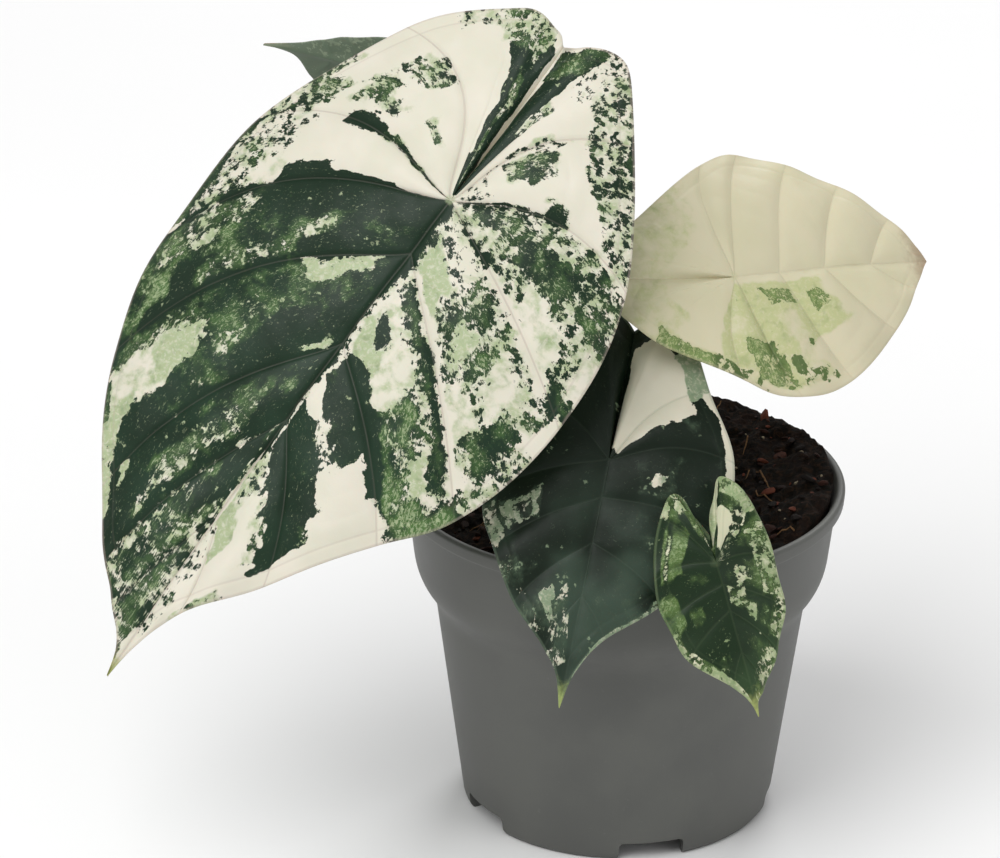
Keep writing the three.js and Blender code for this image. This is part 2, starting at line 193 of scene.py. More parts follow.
def mesh_piece(name, points, faces, material, smooth=True):
    """A new object from points in millimetres."""
    mesh = bpy.data.meshes.new(name)
    mesh.from_pydata((np.asarray(points) * MM).tolist(), [], faces)
    mesh.update()
    mesh.polygons.foreach_set("use_smooth", [smooth] * len(mesh.polygons))
    mesh.materials.append(material)
    piece = bpy.data.objects.new(name, mesh)
    bpy.context.collection.objects.link(piece)
    return piece


def ring_faces(rings, sides, first=0):
    """Faces between rings of points that follow each other in the list of points."""
    faces = []
    for low in range(first, first + (rings - 1) * sides, sides):
        for i in range(sides):
            n = (i + 1) % sides
            faces.append([low + i, low + n, low + sides + n, low + sides + i])
    return faces


def tube_faces(rings, sides):
    """The same, closed at both ends by a point each. The two end points follow the rings."""
    faces = ring_faces(rings, sides)
    start, end = rings * sides, rings * sides + 1
    final = (rings - 1) * sides
    for i in range(sides):
        n = (i + 1) % sides
        faces.append([start, n, i])
        faces.append([end, final + i, final + n])
    return faces


def add_values(piece, name, values):
    """One number or one vector for each point of the mesh, for its material to read."""
    values = np.asarray(values, dtype=np.float32)
    kind = "FLOAT" if values.ndim == 1 else "FLOAT_VECTOR"
    layer = piece.data.attributes.new(name, kind, "POINT")
    layer.data.foreach_set("value" if values.ndim == 1 else "vector", values.ravel())


def belongs(piece, slot, *nodes):
    """Ties a piece to the body and hides the solids that it stands in for. The slot is not used."""
    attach(piece, "root")
    if nodes:
        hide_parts(*nodes)


# What a tone says about a place: how cream it is, how fresh its green and how greenish its cream.
TONE_FIELDS = ("cream", "fresh", "sage")
# Over how many veins, and how much of the way to the margin, one tone runs into the next.
TONE_BLEND = (0.1, 0.05)

# Each value runs from -1.3 or less, nowhere, over 0, half of the place, to 1.3 or more, everywhere.
TONES = {
    "cream": (1.9, 0.0, -1.3),
    "milky": (1.6, 0.0, -0.2),
    "sage": (1.4, 0.2, 1.1),
    "olive": (0.45, 0.8, 1.2),
    "lacy": (0.32, -0.5, -0.6),
    "lacy fresh": (0.15, 0.4, 0.2),
    "mottled": (0.06, -0.2, 0.0),
    "peppered": (-0.2, 0.1, 0.1),
    "flecked": (-0.6, -0.1, 0.2),
    "deep": (-1.6, -1.0, 0.0),
    "soft": (-1.2, -0.15, 0.0),
    "specked": (-0.95, -0.5, 0.1),
    "fresh": (-1.0, 0.9, 0.0),
    "leafy": (-0.4, 1.3, 0.9),
}

# Where the tones lie on the +X side (1) and the -X side (-1) of each blade: from which vein to
# which, and from where to where between midrib (0) and margin (1). Later ones lie over earlier.
MARBLING = {
    "large": {
        1: [
            (-1, 12, -1, 2, "cream"), (0.24, 2.1, 0.03, 0.24, "deep"), (0.38, 1.8, 0.2, 0.82, "deep"),
            (0.3, 1, 0.8, 0.96, "deep"), (1, 1.4, 0.1, 0.72, "peppered"),
            (1, 2.1, 0.8, 1.2, "lacy fresh"), (2.05, 2.65, 0.88, 1.2, "mottled"),
            (2.96, 3.34, 0.56, 0.8, "peppered"), (3.22, 3.3, 0.38, 0.42, "mottled"),
            (3.3, 3.52, 0.25, 0.38, "peppered"), (3.4, 3.6, 0.58, 0.76, "peppered"),
            (3.52, 3.8, 0.44, 0.7, "peppered"), (3.6, 4.02, 0.74, 0.94, "peppered"),
            (3.3, 4.02, 0.93, 1.2, "mottled"), (3.9, 4.06, 0, 0.44, "flecked"),
            (3.88, 4.06, 0.42, 0.62, "deep"), (4.02, 4.95, 0.66, 0.95, "lacy"),
            (4.3, 4.7, 0.74, 0.94, "mottled"), (4, 4.9, 0.94, 1.1, "flecked"),
            (4.66, 4.9, 0.6, 0.76, "milky"), (4.7, 5.1, 0.42, 0.62, "deep"),
            (4.85, 5.1, 0.2, 0.44, "deep"), (4.76, 5, 0.76, 0.95, "mottled"),
            (4.96, 6.05, 0, 1.2, "soft"), (5, 5.45, 0, 0.6, "deep"), (5.66, 5.98, 0.1, 0.9, "deep"),
            (5, 5.18, 0.84, 0.95, "olive"), (5.02, 5.5, 0.6, 0.95, "peppered"),
            (5.42, 5.5, 0.7, 0.78, "sage"), (5.55, 5.85, 0.82, 0.94, "fresh"),
            (5.5, 5.75, 0.27, 0.43, "lacy fresh"), (5.7, 5.97, 0.4, 0.72, "peppered"),
            (6.02, 7.05, 0, 1.2, "soft"), (6.05, 6.2, 0.06, 0.34, "sage"),
            (6.12, 6.3, 0.68, 0.96, "peppered"), (6.1, 6.5, 0.3, 0.66, "flecked"),
            (6.56, 7, 0.05, 0.5, "deep"), (6.27, 6.62, 0.72, 0.99, "milky"),
            (6.3, 6.55, 0.62, 0.78, "sage"), (6.5, 6.75, 0.4, 0.56, "lacy fresh"),
            (6.5, 6.76, 0.86, 1.2, "sage"), (6.68, 7, 0.44, 0.7, "flecked"),
            (6.84, 6.95, 0.05, 0.16, "sage"), (6.64, 7.05, 0.66, 0.93, "deep"),
            (7.02, 8.05, 0, 1.2, "deep"), (7.1, 7.5, 0.1, 0.5, "soft"), (6.8, 7.35, 0.95, 1.2, "sage"),
            (7.1, 7.22, 0.82, 0.9, "sage"), (7.35, 7.85, 0.25, 0.7, "peppered"),
            (7.6, 7.85, 0.68, 0.82, "mottled"), (7.95, 9.05, 0, 1.2, "peppered"),
            (8.1, 8.5, 0.1, 0.4, "deep"), (9, 10.2, 0, 1.2, "peppered"), (4.9, 8.4, -1, 0.02, "deep"),
        ],
        -1: [
            (-1, 12, -1, 2, "cream"), (0.4, 2.1, 0.04, 0.56, "deep"), (0.44, 1.6, 0.5, 0.82, "deep"),
            (1.6, 2.2, 0.4, 0.66, "mottled"), (0.2, 1.9, 0.8, 1, "flecked"),
            (1.7, 2.3, 0.72, 1.2, "lacy"), (2.2, 3.4, 0.8, 1.2, "mottled"),
            (2.8, 3.04, 0.3, 0.62, "mottled"), (2.96, 3.04, 0.02, 0.76, "mottled"),
            (3.08, 3.52, 0.3, 0.62, "peppered"), (3, 3.9, 0.05, 0.24, "lacy"),
            (3.45, 3.6, 0.44, 0.53, "flecked"), (3.74, 4, 0.48, 0.62, "flecked"),
            (3.94, 4.06, 0.04, 0.6, "flecked"), (3.3, 4, 0.8, 1.2, "mottled"),
            (4.02, 5, 0.04, 1, "mottled"), (4.14, 4.5, 0.14, 0.56, "peppered"),
            (4.3, 4.65, 0.44, 0.72, "flecked"), (4.06, 4.5, 0.74, 1.2, "peppered"),
            (4.72, 4.96, 0.54, 0.76, "milky"), (4.56, 4.85, 0.93, 1.2, "milky"),
            (4.95, 5.06, 0.03, 0.34, "flecked"), (4.92, 5.1, 0.84, 1.2, "flecked"),
            (5.06, 6, 0, 1.2, "mottled"), (5.1, 5.45, 0.1, 0.32, "lacy"), (5.5, 5.88, 0.08, 0.26, "sage"),
            (5.2, 5.8, 0.34, 0.64, "peppered"), (5.5, 5.72, 0.42, 0.52, "sage"),
            (5.7, 5.92, 0.56, 0.76, "milky"), (5.2, 5.5, 0.66, 0.84, "milky"),
            (5.3, 5.8, 0.78, 0.92, "flecked"), (5.04, 5.3, 0.94, 1.2, "cream"),
            (5.93, 6, 0.1, 0.9, "cream"), (6, 7, 0, 1.2, "mottled"), (6.25, 6.85, 0.06, 0.42, "milky"),
            (6.62, 6.86, 0.06, 0.24, "sage"), (6.46, 6.62, 0.1, 0.2, "deep"),
            (6.02, 6.14, 0.1, 0.9, "flecked"), (6.4, 6.9, 0.46, 0.93, "fresh"),
            (6.5, 6.8, 0.46, 0.86, "peppered"), (6.34, 6.5, 0.72, 0.86, "sage"),
            (5.95, 6.8, 0.94, 1.2, "fresh"), (6.86, 7.4, 0.04, 0.8, "deep"), (7.1, 8, 0.56, 1.2, "cream"),
            (7.4, 7.7, 0.2, 0.56, "lacy"), (7.64, 8.2, 0.04, 0.88, "deep"), (8.2, 9.1, 0.2, 1.2, "cream"),
            (8.2, 8.7, 0, 0.26, "mottled"), (8.2, 8.36, 0.26, 0.8, "mottled"),
            (8.6, 9.14, 0.05, 0.52, "sage"), (8.5, 9.2, 0.9, 1.2, "lacy fresh"),
            (9.1, 10.3, 0, 0.8, "lacy"), (4.9, 8.4, -1, 0.02, "deep"), (6.1, 7.7, 0.012, 0.05, "lacy"),
        ],
    },
    "right": {
        1: [
            (-1, 12, -1, 2, "cream"), (0, 2.2, 0.6, 1.2, "milky"), (2.8, 4.5, 0.08, 0.9, "sage"),
            (4.5, 5.6, 0.07, 0.6, "sage"), (4.4, 4.8, 0.34, 0.8, "milky"), (3, 3.4, 0.38, 0.56, "milky"),
            (3, 3.25, 0.14, 0.34, "olive"), (4.35, 4.95, 0.12, 0.27, "leafy"),
            (5.2, 5.6, 0.18, 0.38, "leafy"), (3.3, 4.15, 0.56, 0.92, "leafy"), (2, 3, 0.86, 1.2, "leafy"),
            (2.7, 3.4, 0.86, 1, "mottled"), (4.24, 4.5, 0.66, 0.82, "flecked"),
            (4.6, 4.85, 0.54, 0.63, "mottled"), (4.25, 4.8, 0.8, 0.93, "mottled"),
        ],
        -1: [
            (-1, 12, -1, 2, "cream"), (0, 2.6, 0.5, 1.2, "milky"),
        ],
    },
    "centre": {
        1: [
            (-1, 12, -1, 2, "deep"), (4.3, 5.1, 0.52, 0.86, "olive"), (4.4, 5.1, 0.56, 0.7, "peppered"),
            (4.2, 5.4, 0.88, 1.2, "lacy fresh"), (5, 7.2, 0.55, 1.2, "specked"),
            (5.2, 6.6, 0.82, 1.2, "flecked"), (6.35, 6.62, 0.5, 0.7, "sage"),
            (6.6, 8.3, 0.3, 1.2, "peppered"),
        ],
        -1: [
            (-1, 12, -1, 2, "deep"), (0.36, 3.36, 0.1, 0.84, "cream"), (2.2, 3.14, 0.84, 1.2, "sage"),
            (3.05, 4.3, 0.95, 1.2, "cream"), (3.5, 4.2, 0.5, 0.94, "specked"),
            (3.7, 4.9, 0.25, 0.75, "specked"), (4.5, 4.64, 0.38, 0.46, "milky"),
            (5.2, 7.2, 0.3, 0.9, "specked"), (5.9, 8.4, 0.93, 1.2, "olive"),
        ],
    },
    "small": {
        1: [
            (-1, 12, -1, 2, "deep"), (0.8, 2.4, 0.3, 1.2, "peppered"), (2, 3.2, 0.74, 1.2, "lacy fresh"),
            (2.8, 4.1, 0.5, 0.9, "fresh"), (3.2, 4.2, 0.76, 0.84, "mottled"),
            (4.5, 5.4, 0.7, 1.2, "fresh"), (4.9, 5.7, 0.38, 0.62, "flecked"),
            (5.2, 6.1, 0.88, 1.2, "lacy fresh"), (6, 8.2, 0.8, 1.2, "lacy fresh"),
            (6.6, 7.4, 0.1, 0.8, "flecked"),
        ],
        -1: [
            (-1, 12, -1, 2, "soft"), (0.3, 1.8, 0.5, 1.2, "milky"), (1.9, 3.1, 0.82, 1.2, "olive"),
            (1.7, 2.75, 0.2, 0.66, "cream"), (2.05, 2.5, 0.66, 0.8, "flecked"),
            (2.6, 3.3, 0.44, 0.84, "mottled"), (2.8, 4.4, 0.04, 0.46, "flecked"),
            (3.4, 5, 0.62, 1.2, "lacy fresh"), (4.3, 5, 0.22, 0.5, "mottled"),
            (4.95, 5.7, 0.05, 0.36, "lacy fresh"), (4.65, 5.35, 0.36, 0.62, "flecked"),
            (5.4, 5.85, 0.34, 0.54, "olive"), (4.8, 5.7, 0.78, 1.2, "lacy fresh"),
            (5.85, 8.2, 0, 1.2, "soft"), (6, 8.2, 0.55, 1.2, "peppered"),
        ],
    },
    "back": {
        1: [
            (-1, 12, -1, 2, "flecked"),
        ],
        -1: [
            (-1, 12, -1, 2, "peppered"),
        ],
    },
}

# The colours of each blade, of which painted_sheen is a painted sheen on its dark green and back the
# underside.
# Then how clearly its veins show in the cream and in the green, how soft its green washes are, how
# clear the star where its veins meet and its fine grit are, and how much it shines.
LOOKS = {
    "large": {
        "cream": srgb(216, 211, 196), "sage": srgb(166, 178, 140), "fresh": srgb(74, 104, 56),
        "dark": srgb(19, 40, 24), "painted_sheen": srgb(30, 52, 36), "tip": srgb(150, 160, 86),
        "vein": srgb(172, 156, 148), "back": srgb(150, 165, 140),
        "lines": (0.38, 0.06), "wash": 0.5, "star": 0.5, "grit": 1.0, "shine": 0.22,
    },
    "right": {
        "cream": srgb(203, 196, 168), "sage": srgb(181, 184, 137), "fresh": srgb(118, 138, 82),
        "dark": srgb(78, 98, 54), "painted_sheen": srgb(92, 112, 62), "tip": srgb(158, 140, 116),
        "vein": srgb(180, 170, 144), "back": srgb(190, 190, 150),
        "lines": (0.16, 0.1), "wash": 0.8, "star": 0.3, "grit": 1.0, "shine": 0.22,
    },
    "centre": {
        "cream": srgb(208, 202, 184), "sage": srgb(124, 140, 112), "fresh": srgb(66, 82, 64),
        "dark": srgb(15, 27, 16), "painted_sheen": srgb(53, 68, 56), "tip": srgb(150, 164, 98),
        "vein": srgb(110, 126, 106), "back": srgb(120, 138, 120),
        "lines": (0.16, 0.04), "wash": 0.4, "star": 0.0, "grit": 0.25, "shine": 0.18,
    },
    "small": {
        "cream": srgb(206, 204, 176), "sage": srgb(138, 156, 112), "fresh": srgb(82, 106, 56),
        "dark": srgb(20, 40, 18), "painted_sheen": srgb(44, 66, 38), "tip": srgb(164, 172, 104),
        "vein": srgb(120, 138, 100), "back": srgb(130, 150, 110),
        "lines": (0.25, 0.06), "wash": 0.5, "star": 0.1, "grit": 0.8, "shine": 0.22,
    },
    "back": {
        "cream": srgb(190, 196, 170), "sage": srgb(140, 156, 128), "fresh": srgb(78, 100, 70),
        "dark": srgb(42, 62, 46), "painted_sheen": srgb(56, 76, 58), "tip": srgb(140, 120, 90),
        "vein": srgb(100, 116, 96), "back": srgb(118, 130, 112),
        "lines": (0.3, 0.1), "wash": 0.3, "star": 0.4, "grit": 0.6, "shine": 0.22,
    },
}

# The blades of the model: where the stalk meets each, the directions of its tip and its face, and
# how it bends. Crease, puff and wave differ a little from the model's. Then the steps of its net
# from vein to vein and out to the margin, depth and width of its grooves, and pitch and height of
# its cushions. Last, a row for each pair of veins: how far along the midrib the pair starts, the
# end and the bow of the +X vein, and the same for the -X vein.
BLADES = {
    "large": {
        "at": (-46, -30, 186), "tip": (-0.603, -0.362, -0.711), "face": (-0.228, -0.779, 0.584),
        "arch": 0.42, "droop": 0.06, "back": 0.15, "fold": 1.5, "crease": 2.2, "puff": 3.1,
        "wave": 1, "steps": (19, 104), "groove": (0.34, 0.6), "quilt": (9, 0.26),
        "veins": [
            (0, (2, -49), 0, (2, -49), 0),
            (0, (7, -52), 0, (-3, -53), 0),
            (0, (19, -51), 0.03, (-14, -55), 0.03),
            (0, (41, -30), 0.2, (-29, -39), 0.14),
            (0, (61, 11), 0.14, (-50, -8), 0.14),
            (0, (63, 51), 0.12, (-57, 30), 0.03),
            (17, (54, 83), 0.1, (-50, 65), 0.03),
            (46, (32, 113), 0.08, (-38, 82), 0.05),
            (70, (18, 128), 0.05, (-21, 108), 0.06),
            (100, (9, 136), 0.02, (-7, 127), 0.05),
            (137, (2.5, 143), 0, (-2, 140), 0),
            (151, (0, 151), 0, (0, 151), 0),
        ],
    },
    "right": {
        "at": (28, -14, 158.5), "tip": (0.885, 0.46, -0.068), "face": (0.364, -0.593, 0.718),
        "arch": 0.5, "droop": 0.15, "back": 0.3, "fold": 1.2, "crease": 1.4, "puff": 2.0,
        "wave": 0.6, "steps": (16, 72), "groove": (0.36, 1.7), "quilt": (8, 0.34),
        "veins": [
            (0, (-4, -29), 0, (-4, -29), 0),
            (0, (4, -34), 0, (-12, -34), 0),
            (0, (14, -27), 0.04, (-22, -19), 0.05),
            (0, (28, -5), 0.1, (-35, 4), 0.1),
            (0, (34, 11), 0.05, (-37, 16), 0.05),
            (14, (31, 28), 0.05, (-32, 29), 0.05),
            (28, (19, 45), 0.05, (-24, 42), 0.05),
            (43, (8, 55), 0.04, (-13, 54), 0.04),
            (55, (2, 60), 0, (-4, 60), 0),
            (62, (0, 62), 0, (0, 62), 0),
        ],
    },
    "centre": {
        "at": (-4.6, -47.5, 121.1), "tip": (-0.189, -0.583, -0.79), "face": (0.02, -0.8, 0.6),
        "arch": 0.4, "droop": 0.2, "back": 0.5, "fold": 1.5, "crease": 3, "puff": 1.5,
        "wave": 0.8, "steps": (16, 72), "groove": (0.13, 0.9), "quilt": (9, 0.08),
        "veins": [
            (0, (0, -36), 0, (0, -36), 0),
            (0, (6, -41), 0, (-6, -42), 0),
            (0, (14, -39), 0.04, (-13, -40), 0.03),
            (0, (26, -12), 0.12, (-22, -24), 0.1),
            (0, (30, 15), 0.05, (-32, -6), 0.1),
            (10, (25, 28), 0.05, (-32, 13), 0.05),
            (22, (17, 41), 0.05, (-21, 34), 0.05),
            (36, (7, 51), 0.04, (-8, 46), 0.04),
            (50, (2.5, 57), 0, (-2, 56), 0),
            (65, (0, 65), 0, (0, 65), 0),
        ],
    },
    "small": {
        "at": (22.9, -68, 101.7), "tip": (0.302, -0.346, -0.888), "face": (0.183, -0.893, 0.41),
        "arch": 0.6, "droop": 0.3, "back": 0.8, "fold": -4, "crease": 1, "puff": 1.1,
        "wave": 1.2, "steps": (12, 44), "groove": (0.2, 0.6), "quilt": (6, 0.2),
        "veins": [
            (0, (-0.5, -6), 0, (-0.5, -6), 0),
            (0, (1.5, -13), 0, (-4, -14), 0),
            (0, (4, -19.5), 0, (-9.5, -20), 0),
            (0, (9.5, -15), 0.05, (-15, -11), 0.05),
            (0, (16, 0), 0.1, (-16, 4), 0.1),
            (6, (16, 12), 0.05, (-15, 17), 0.05),
            (13, (13, 23), 0.05, (-10, 27), 0.05),
            (24, (4, 33), 0.04, (-4, 35), 0.04),
            (36, (1, 38), 0, (-1, 38), 0),
            (42, (0, 42), 0, (0, 42), 0),
        ],
    },
    "back": {
        "at": (-52.5, 28, 196.5), "tip": (-0.954, 0.138, 0.267), "face": (0.215, 0.933, 0.286),
        "arch": 0.5, "droop": 0.3, "back": 0.4, "fold": 1, "crease": 1.5, "puff": 0.9,
        "wave": 0.2, "steps": (12, 44), "groove": (0.2, 0.6), "quilt": (7, 0.1),
        "veins": [
            (0, (0, -14), 0, (0, -14), 0),
            (0, (4, -19), 0, (-4, -18), 0),
            (0, (12, -17), 0.04, (-10, -13), 0.04),
            (0, (20, -4), 0.1, (-14, -3), 0.08),
            (0, (22, 9), 0.05, (-12, 8), 0.05),
            (8, (19, 19), 0.05, (-9.5, 16), 0.05),
            (17, (13, 26), 0.05, (-7, 24), 0.05),
            (26, (8, 31), 0.04, (-4.5, 30), 0.04),
            (35, (2, 36.5), 0, (-2, 36), 0),
            (44.5, (0, 44.5), 0, (0, 44.5), 0),
        ],
    },
}


def through(values, place):
    """A smooth run through the values in a list, at places counted in list entries."""
    values = np.asarray(values, dtype=float)
    last = len(values) - 1
    i = np.minimum(np.floor(place).astype(int), last - 1)
    t = place - i
    a, b = values[np.maximum(i - 1, 0)], values[i]
    c, d = values[i + 1], values[np.minimum(i + 2, last)]
    bend = 2 * a - 5 * b + 4 * c - d
    twist = 3 * b - a - 3 * c + d
    return 0.5 * (2 * b + (c - a) * t + bend * t**2 + twist * t**3)


def straight_through(values, place):
    return np.interp(place, np.arange(len(values)), values)


def flat_point(blade, v, s, side):
    """A point of the blade, flat, as in the model: v counts veins, s runs to the margin."""
    rows = blade["veins"]
    end = 1 if side > 0 else 3
    start = straight_through([row[0] for row in rows], v)
    dx = through([row[end][0] for row in rows], v)
    dy = through([row[end][1] for row in rows], v) - start
    bow = straight_through([row[end + 1] for row in rows], v)
    bend = bow * 5.2 * s * s * (1 - s) / (s + 0.15)
    return dx * s + bend * side * dy, start + dy * s - bend * side * dx


def vein_gaps(blade, side):
    """Millimetres between the ends of neighbouring veins."""
    ends = np.array([row[1 if side > 0 else 3] for row in blade["veins"]], dtype=float)
    return np.linalg.norm(np.diff(ends, axis=0), axis=1)


# The first veins lie so close together that the blade swells once over all of them.
FIRST_VEIN = 3


def blade_room(blade, v, side):
    """From 0 to 1, how much room the blade has to swell between two veins."""
    gaps = vein_gaps(blade, side)
    i = np.minimum(np.floor(v).astype(int), len(gaps) - 1)
    return np.where(v < FIRST_VEIN, 0.7, np.clip((gaps[i] - 8) / 10, 0, 1))


def swelling(v, power):
    """From 0 on a vein to 1 halfway to the next one."""
    v = np.where(v < FIRST_VEIN, v / FIRST_VEIN, v)
    return np.clip(1 - np.abs(2 * (v - np.floor(v)) - 1) ** power, 0, 1)


def relief(blade, v, s, side, x, y):
    """How far the middle of the blade stands off flat, nearly as in the model."""
    last = len(blade["veins"]) - 1
    sag = (blade["arch"] * x * x + np.where(y > 0, blade["droop"], blade["back"]) * y * y) / 100
    midrib = blade["fold"] * (1 - np.exp(-np.abs(x) / 8))
    fade = np.clip((last - 1 - v) / 1.5, 0, 1)
    room = blade_room(blade, v, side)
    puff = blade["puff"] * room * swelling(v, 1.7) * s**0.7 * (1 - s**5) * fade
    notch = blade["crease"] * np.exp(-((v / 0.45) ** 2))
    notch = notch * np.clip(np.sin(np.pi * s**0.8), 0, 1) ** 0.7
    phase = 0 if side > 0 else 1.5
    wave = blade["wave"] * np.sin(v * 1.6 * np.pi + phase) * s**4 * fade
    return midrib - sag + puff - notch + wave


def vein_distance(blade, v, s, side, x, y):
    """Millimetres to the nearest main vein, the midrib included."""
    last = len(blade["veins"]) - 2
    nearest = np.clip(np.round(v), FIRST_VEIN, last - 1)
    vein_x, vein_y = flat_point(blade, nearest, s, side)
    to_vein = np.hypot(x - vein_x, y - vein_y)
    return np.minimum(to_vein, np.where(y >= 0, np.abs(x), np.inf))


def margin_distance(blade, x, y):
    """Millimetres to the edge of the blade."""
    along = np.linspace(0, len(blade["veins"]) - 1, 420)
    ones = np.ones_like(along)
    edge = np.concatenate([np.stack(flat_point(blade, along, ones, side), axis=1) for side in (1, -1)])
    nearest = np.full(x.shape, np.inf)
    for edge_x, edge_y in edge:
        nearest = np.minimum(nearest, (x - edge_x) ** 2 + (y - edge_y) ** 2)
    return np.sqrt(nearest)


def tones_at(blade, name, v, s, side, x, y):
    """The three tone values for each point, from the blade's marbling."""
    wide = straight_through([abs(row[1][0]) + 8 for row in blade["veins"]], v)
    ragged = np.clip(2 / wide, 0.03, 0.3) * np.clip(v, 0.2, 1)
    v_here = v + 1.8 * layered_noise(x, y, 7, 11) * ragged
    s_here = s + 0.035 * layered_noise(x, y, 8, 23)
    fields = np.zeros((len(TONE_FIELDS), *v.shape))
    for v0, v1, s0, s1, tone in MARBLING[name][side]:
        across = np.minimum(v_here - v0, v1 - v_here) / TONE_BLEND[0]
        along = np.minimum(s_here - s0, s1 - s_here) / TONE_BLEND[1]
        weight = np.clip(0.5 + np.minimum(across, along), 0, 1)
        for field, value in zip(fields, TONES[tone]):
            field += (value - field) * weight
    return fields


def blade_matrix(blade):
    y = Vector(blade["tip"]).normalized()
    z = Vector(blade["face"])
    z = (z - z.dot(y) * y).normalized()
    x = y.cross(z)
    turn = Matrix((x, y, z)).transposed().to_4x4()
    return Matrix.Translation(blade["at"]) @ turn


def placed(matrix, points):
    turn = np.array(matrix.to_3x3())
    return points @ turn.T + np.array(matrix.translation)


def crowded(t, how_much):
    """Steps from 0 to 1 that lie closer together at both ends."""
    return t - how_much / (2 * np.pi) * np.sin(2 * np.pi * t)


def blade_grid(blade):
    """Rows of v, closer together at the veins, and columns of s from midrib to margin."""
    between, along = blade["steps"]
    intervals = len(blade["veins"]) - 1
    t = np.linspace(0, 1, between + 1)
    places = crowded(t, 0.62)
    v = np.concatenate([[i + place for place in places[:-1]] for i in range(intervals)] + [[intervals]])
    s = crowded(np.linspace(0, 1, along + 1), 0.35)
    s[0], s[-1] = 0, 1
    return v, s


def blade_net(blade):
    """Points of the blade's two halves, shared along midrib, notch line and tip, and faces."""
    v_rows, s_columns = blade_grid(blade)
    rows, columns = len(v_rows), len(s_columns)
    starts = straight_through([row[0] for row in blade["veins"]], v_rows)
    first_midrib = int(np.argmax(starts > 0))
    index = np.zeros((2, rows, columns), dtype=int)
    samples = []

    def add(v, s, side):
        samples.append((v, s, side))
        return len(samples) - 1

    foot = add(0.0, 0.0, 1)
    tip = None
    for half, side in enumerate((1, -1)):
        for i in range(rows):
            for j in range(columns):
                if i == rows - 1:
                    tip = add(v_rows[i], 0.0, 1) if tip is None else tip
                    index[half, i, j] = tip
                elif j == 0 and i < first_midrib:
                    index[half, i, j] = foot
                elif half == 1 and (j == 0 or i == 0):
                    index[half, i, j] = index[0, i, j]
                else:
                    index[half, i, j] = add(v_rows[i], s_columns[j], side)
    faces = []
    for half in range(2):
        here = index[half]
        corners = [here[:-1, :-1], here[:-1, 1:], here[1:, 1:], here[1:, :-1]]
        for face in np.stack(corners, axis=-1).reshape(-1, 4).tolist():
            face = face if half == 0 else face[::-1]
            face = [p for k, p in enumerate(face) if p != face[k - 1]]
            if len(face) > 2:
                faces.append(face)
    rim = [int(p) for p in index[0, :, -1]] + [int(p) for p in index[1, -2:0:-1, -1]]
    return np.array(samples), faces, rim


# How far the vein that follows the margin keeps from it.
EDGE_VEIN = 3.4
# The blade's thickness at the midrib, how much less it is at the margin, and the least anywhere.
BLADE_THICKNESS = 0.9
MARGIN_THINNING = 0.5
LEAST_THICKNESS = 0.3
# Height and half-width of the ribs below the blade.
MIDRIB = (1.7, 1.5)
SIDE_RIB = (0.75, 0.8)
# Depth and half-width of the groove over the vein that follows the margin.
EDGE_GROOVE = (0.12, 0.5)
# How far the rounded edge stands out, and how far down it is, from top (0) to underside (1).
EDGE_ROUNDING = 0.12
EDGE_UNDER = 0.4
# How finely the streaks follow each other outwards and from vein to vein, and how far apart the
# streaks of the two halves lie in their noise.
STREAKS_OUT, STREAKS_ACROSS = 0.7, 0.8
OTHER_HALF = 400


def ridge(distance, size):
    height, width = size
    return height * np.exp(-((distance / width) ** 2))


def blade_surfaces(blade, p):
    """Heights of the top and the bottom of the blade over its flat points."""
    last = len(blade["veins"]) - 1
    length = blade["veins"][-1][0]
    s, v = p["s"], p["v"]
    reach = np.hypot(p["x"], p["y"])
    inner = np.clip(reach / 10, 0, 1) * np.clip((1 - s) * 6, 0, 1)

    # Cushions between the small cross veins, slow unevenness and grooves over the veins.
    pitch, swell = blade["quilt"]
    cross = reach / pitch + 0.8 * smooth_noise(p["x"], p["y"], 2.2 * pitch, 5) + 0.37 * np.floor(v)
    cushions = swell * np.abs(np.sin(np.pi * cross)) ** 0.6 * swelling(v, 2) * p["room"]
    uneven = 0.35 * layered_noise(p["x"], p["y"], 16, 31) * inner
    groove = ridge(p["distance"], blade["groove"]) * np.clip((1 - s) * 8, 0, 1)
    groove = groove * np.clip(reach / 9, 0, 1)
    marginal = ridge(p["margin"] - EDGE_VEIN, EDGE_GROOVE) * np.clip(reach / 12 - 1, 0, 1)
    top = p["z"] + cushions * inner + uneven - groove - marginal

    # Ribs that fade towards the tip.
    thickness = BLADE_THICKNESS - MARGIN_THINNING * s**3
    tip_fade = np.clip((last - v) / 3, 0.25, 1)
    midrib = ridge(p["x"], MIDRIB) * (p["y"] > -3) * tip_fade * (0.45 + 0.55 * (1 - p["y"] / length))
    ribs = ridge(p["distance"], SIDE_RIB) * np.clip(1.05 - s, 0, 1) * tip_fade
    bottom = p["z"] + uneven - thickness - np.maximum(midrib, ribs)
    return np.maximum(top, bottom + LEAST_THICKNESS), bottom


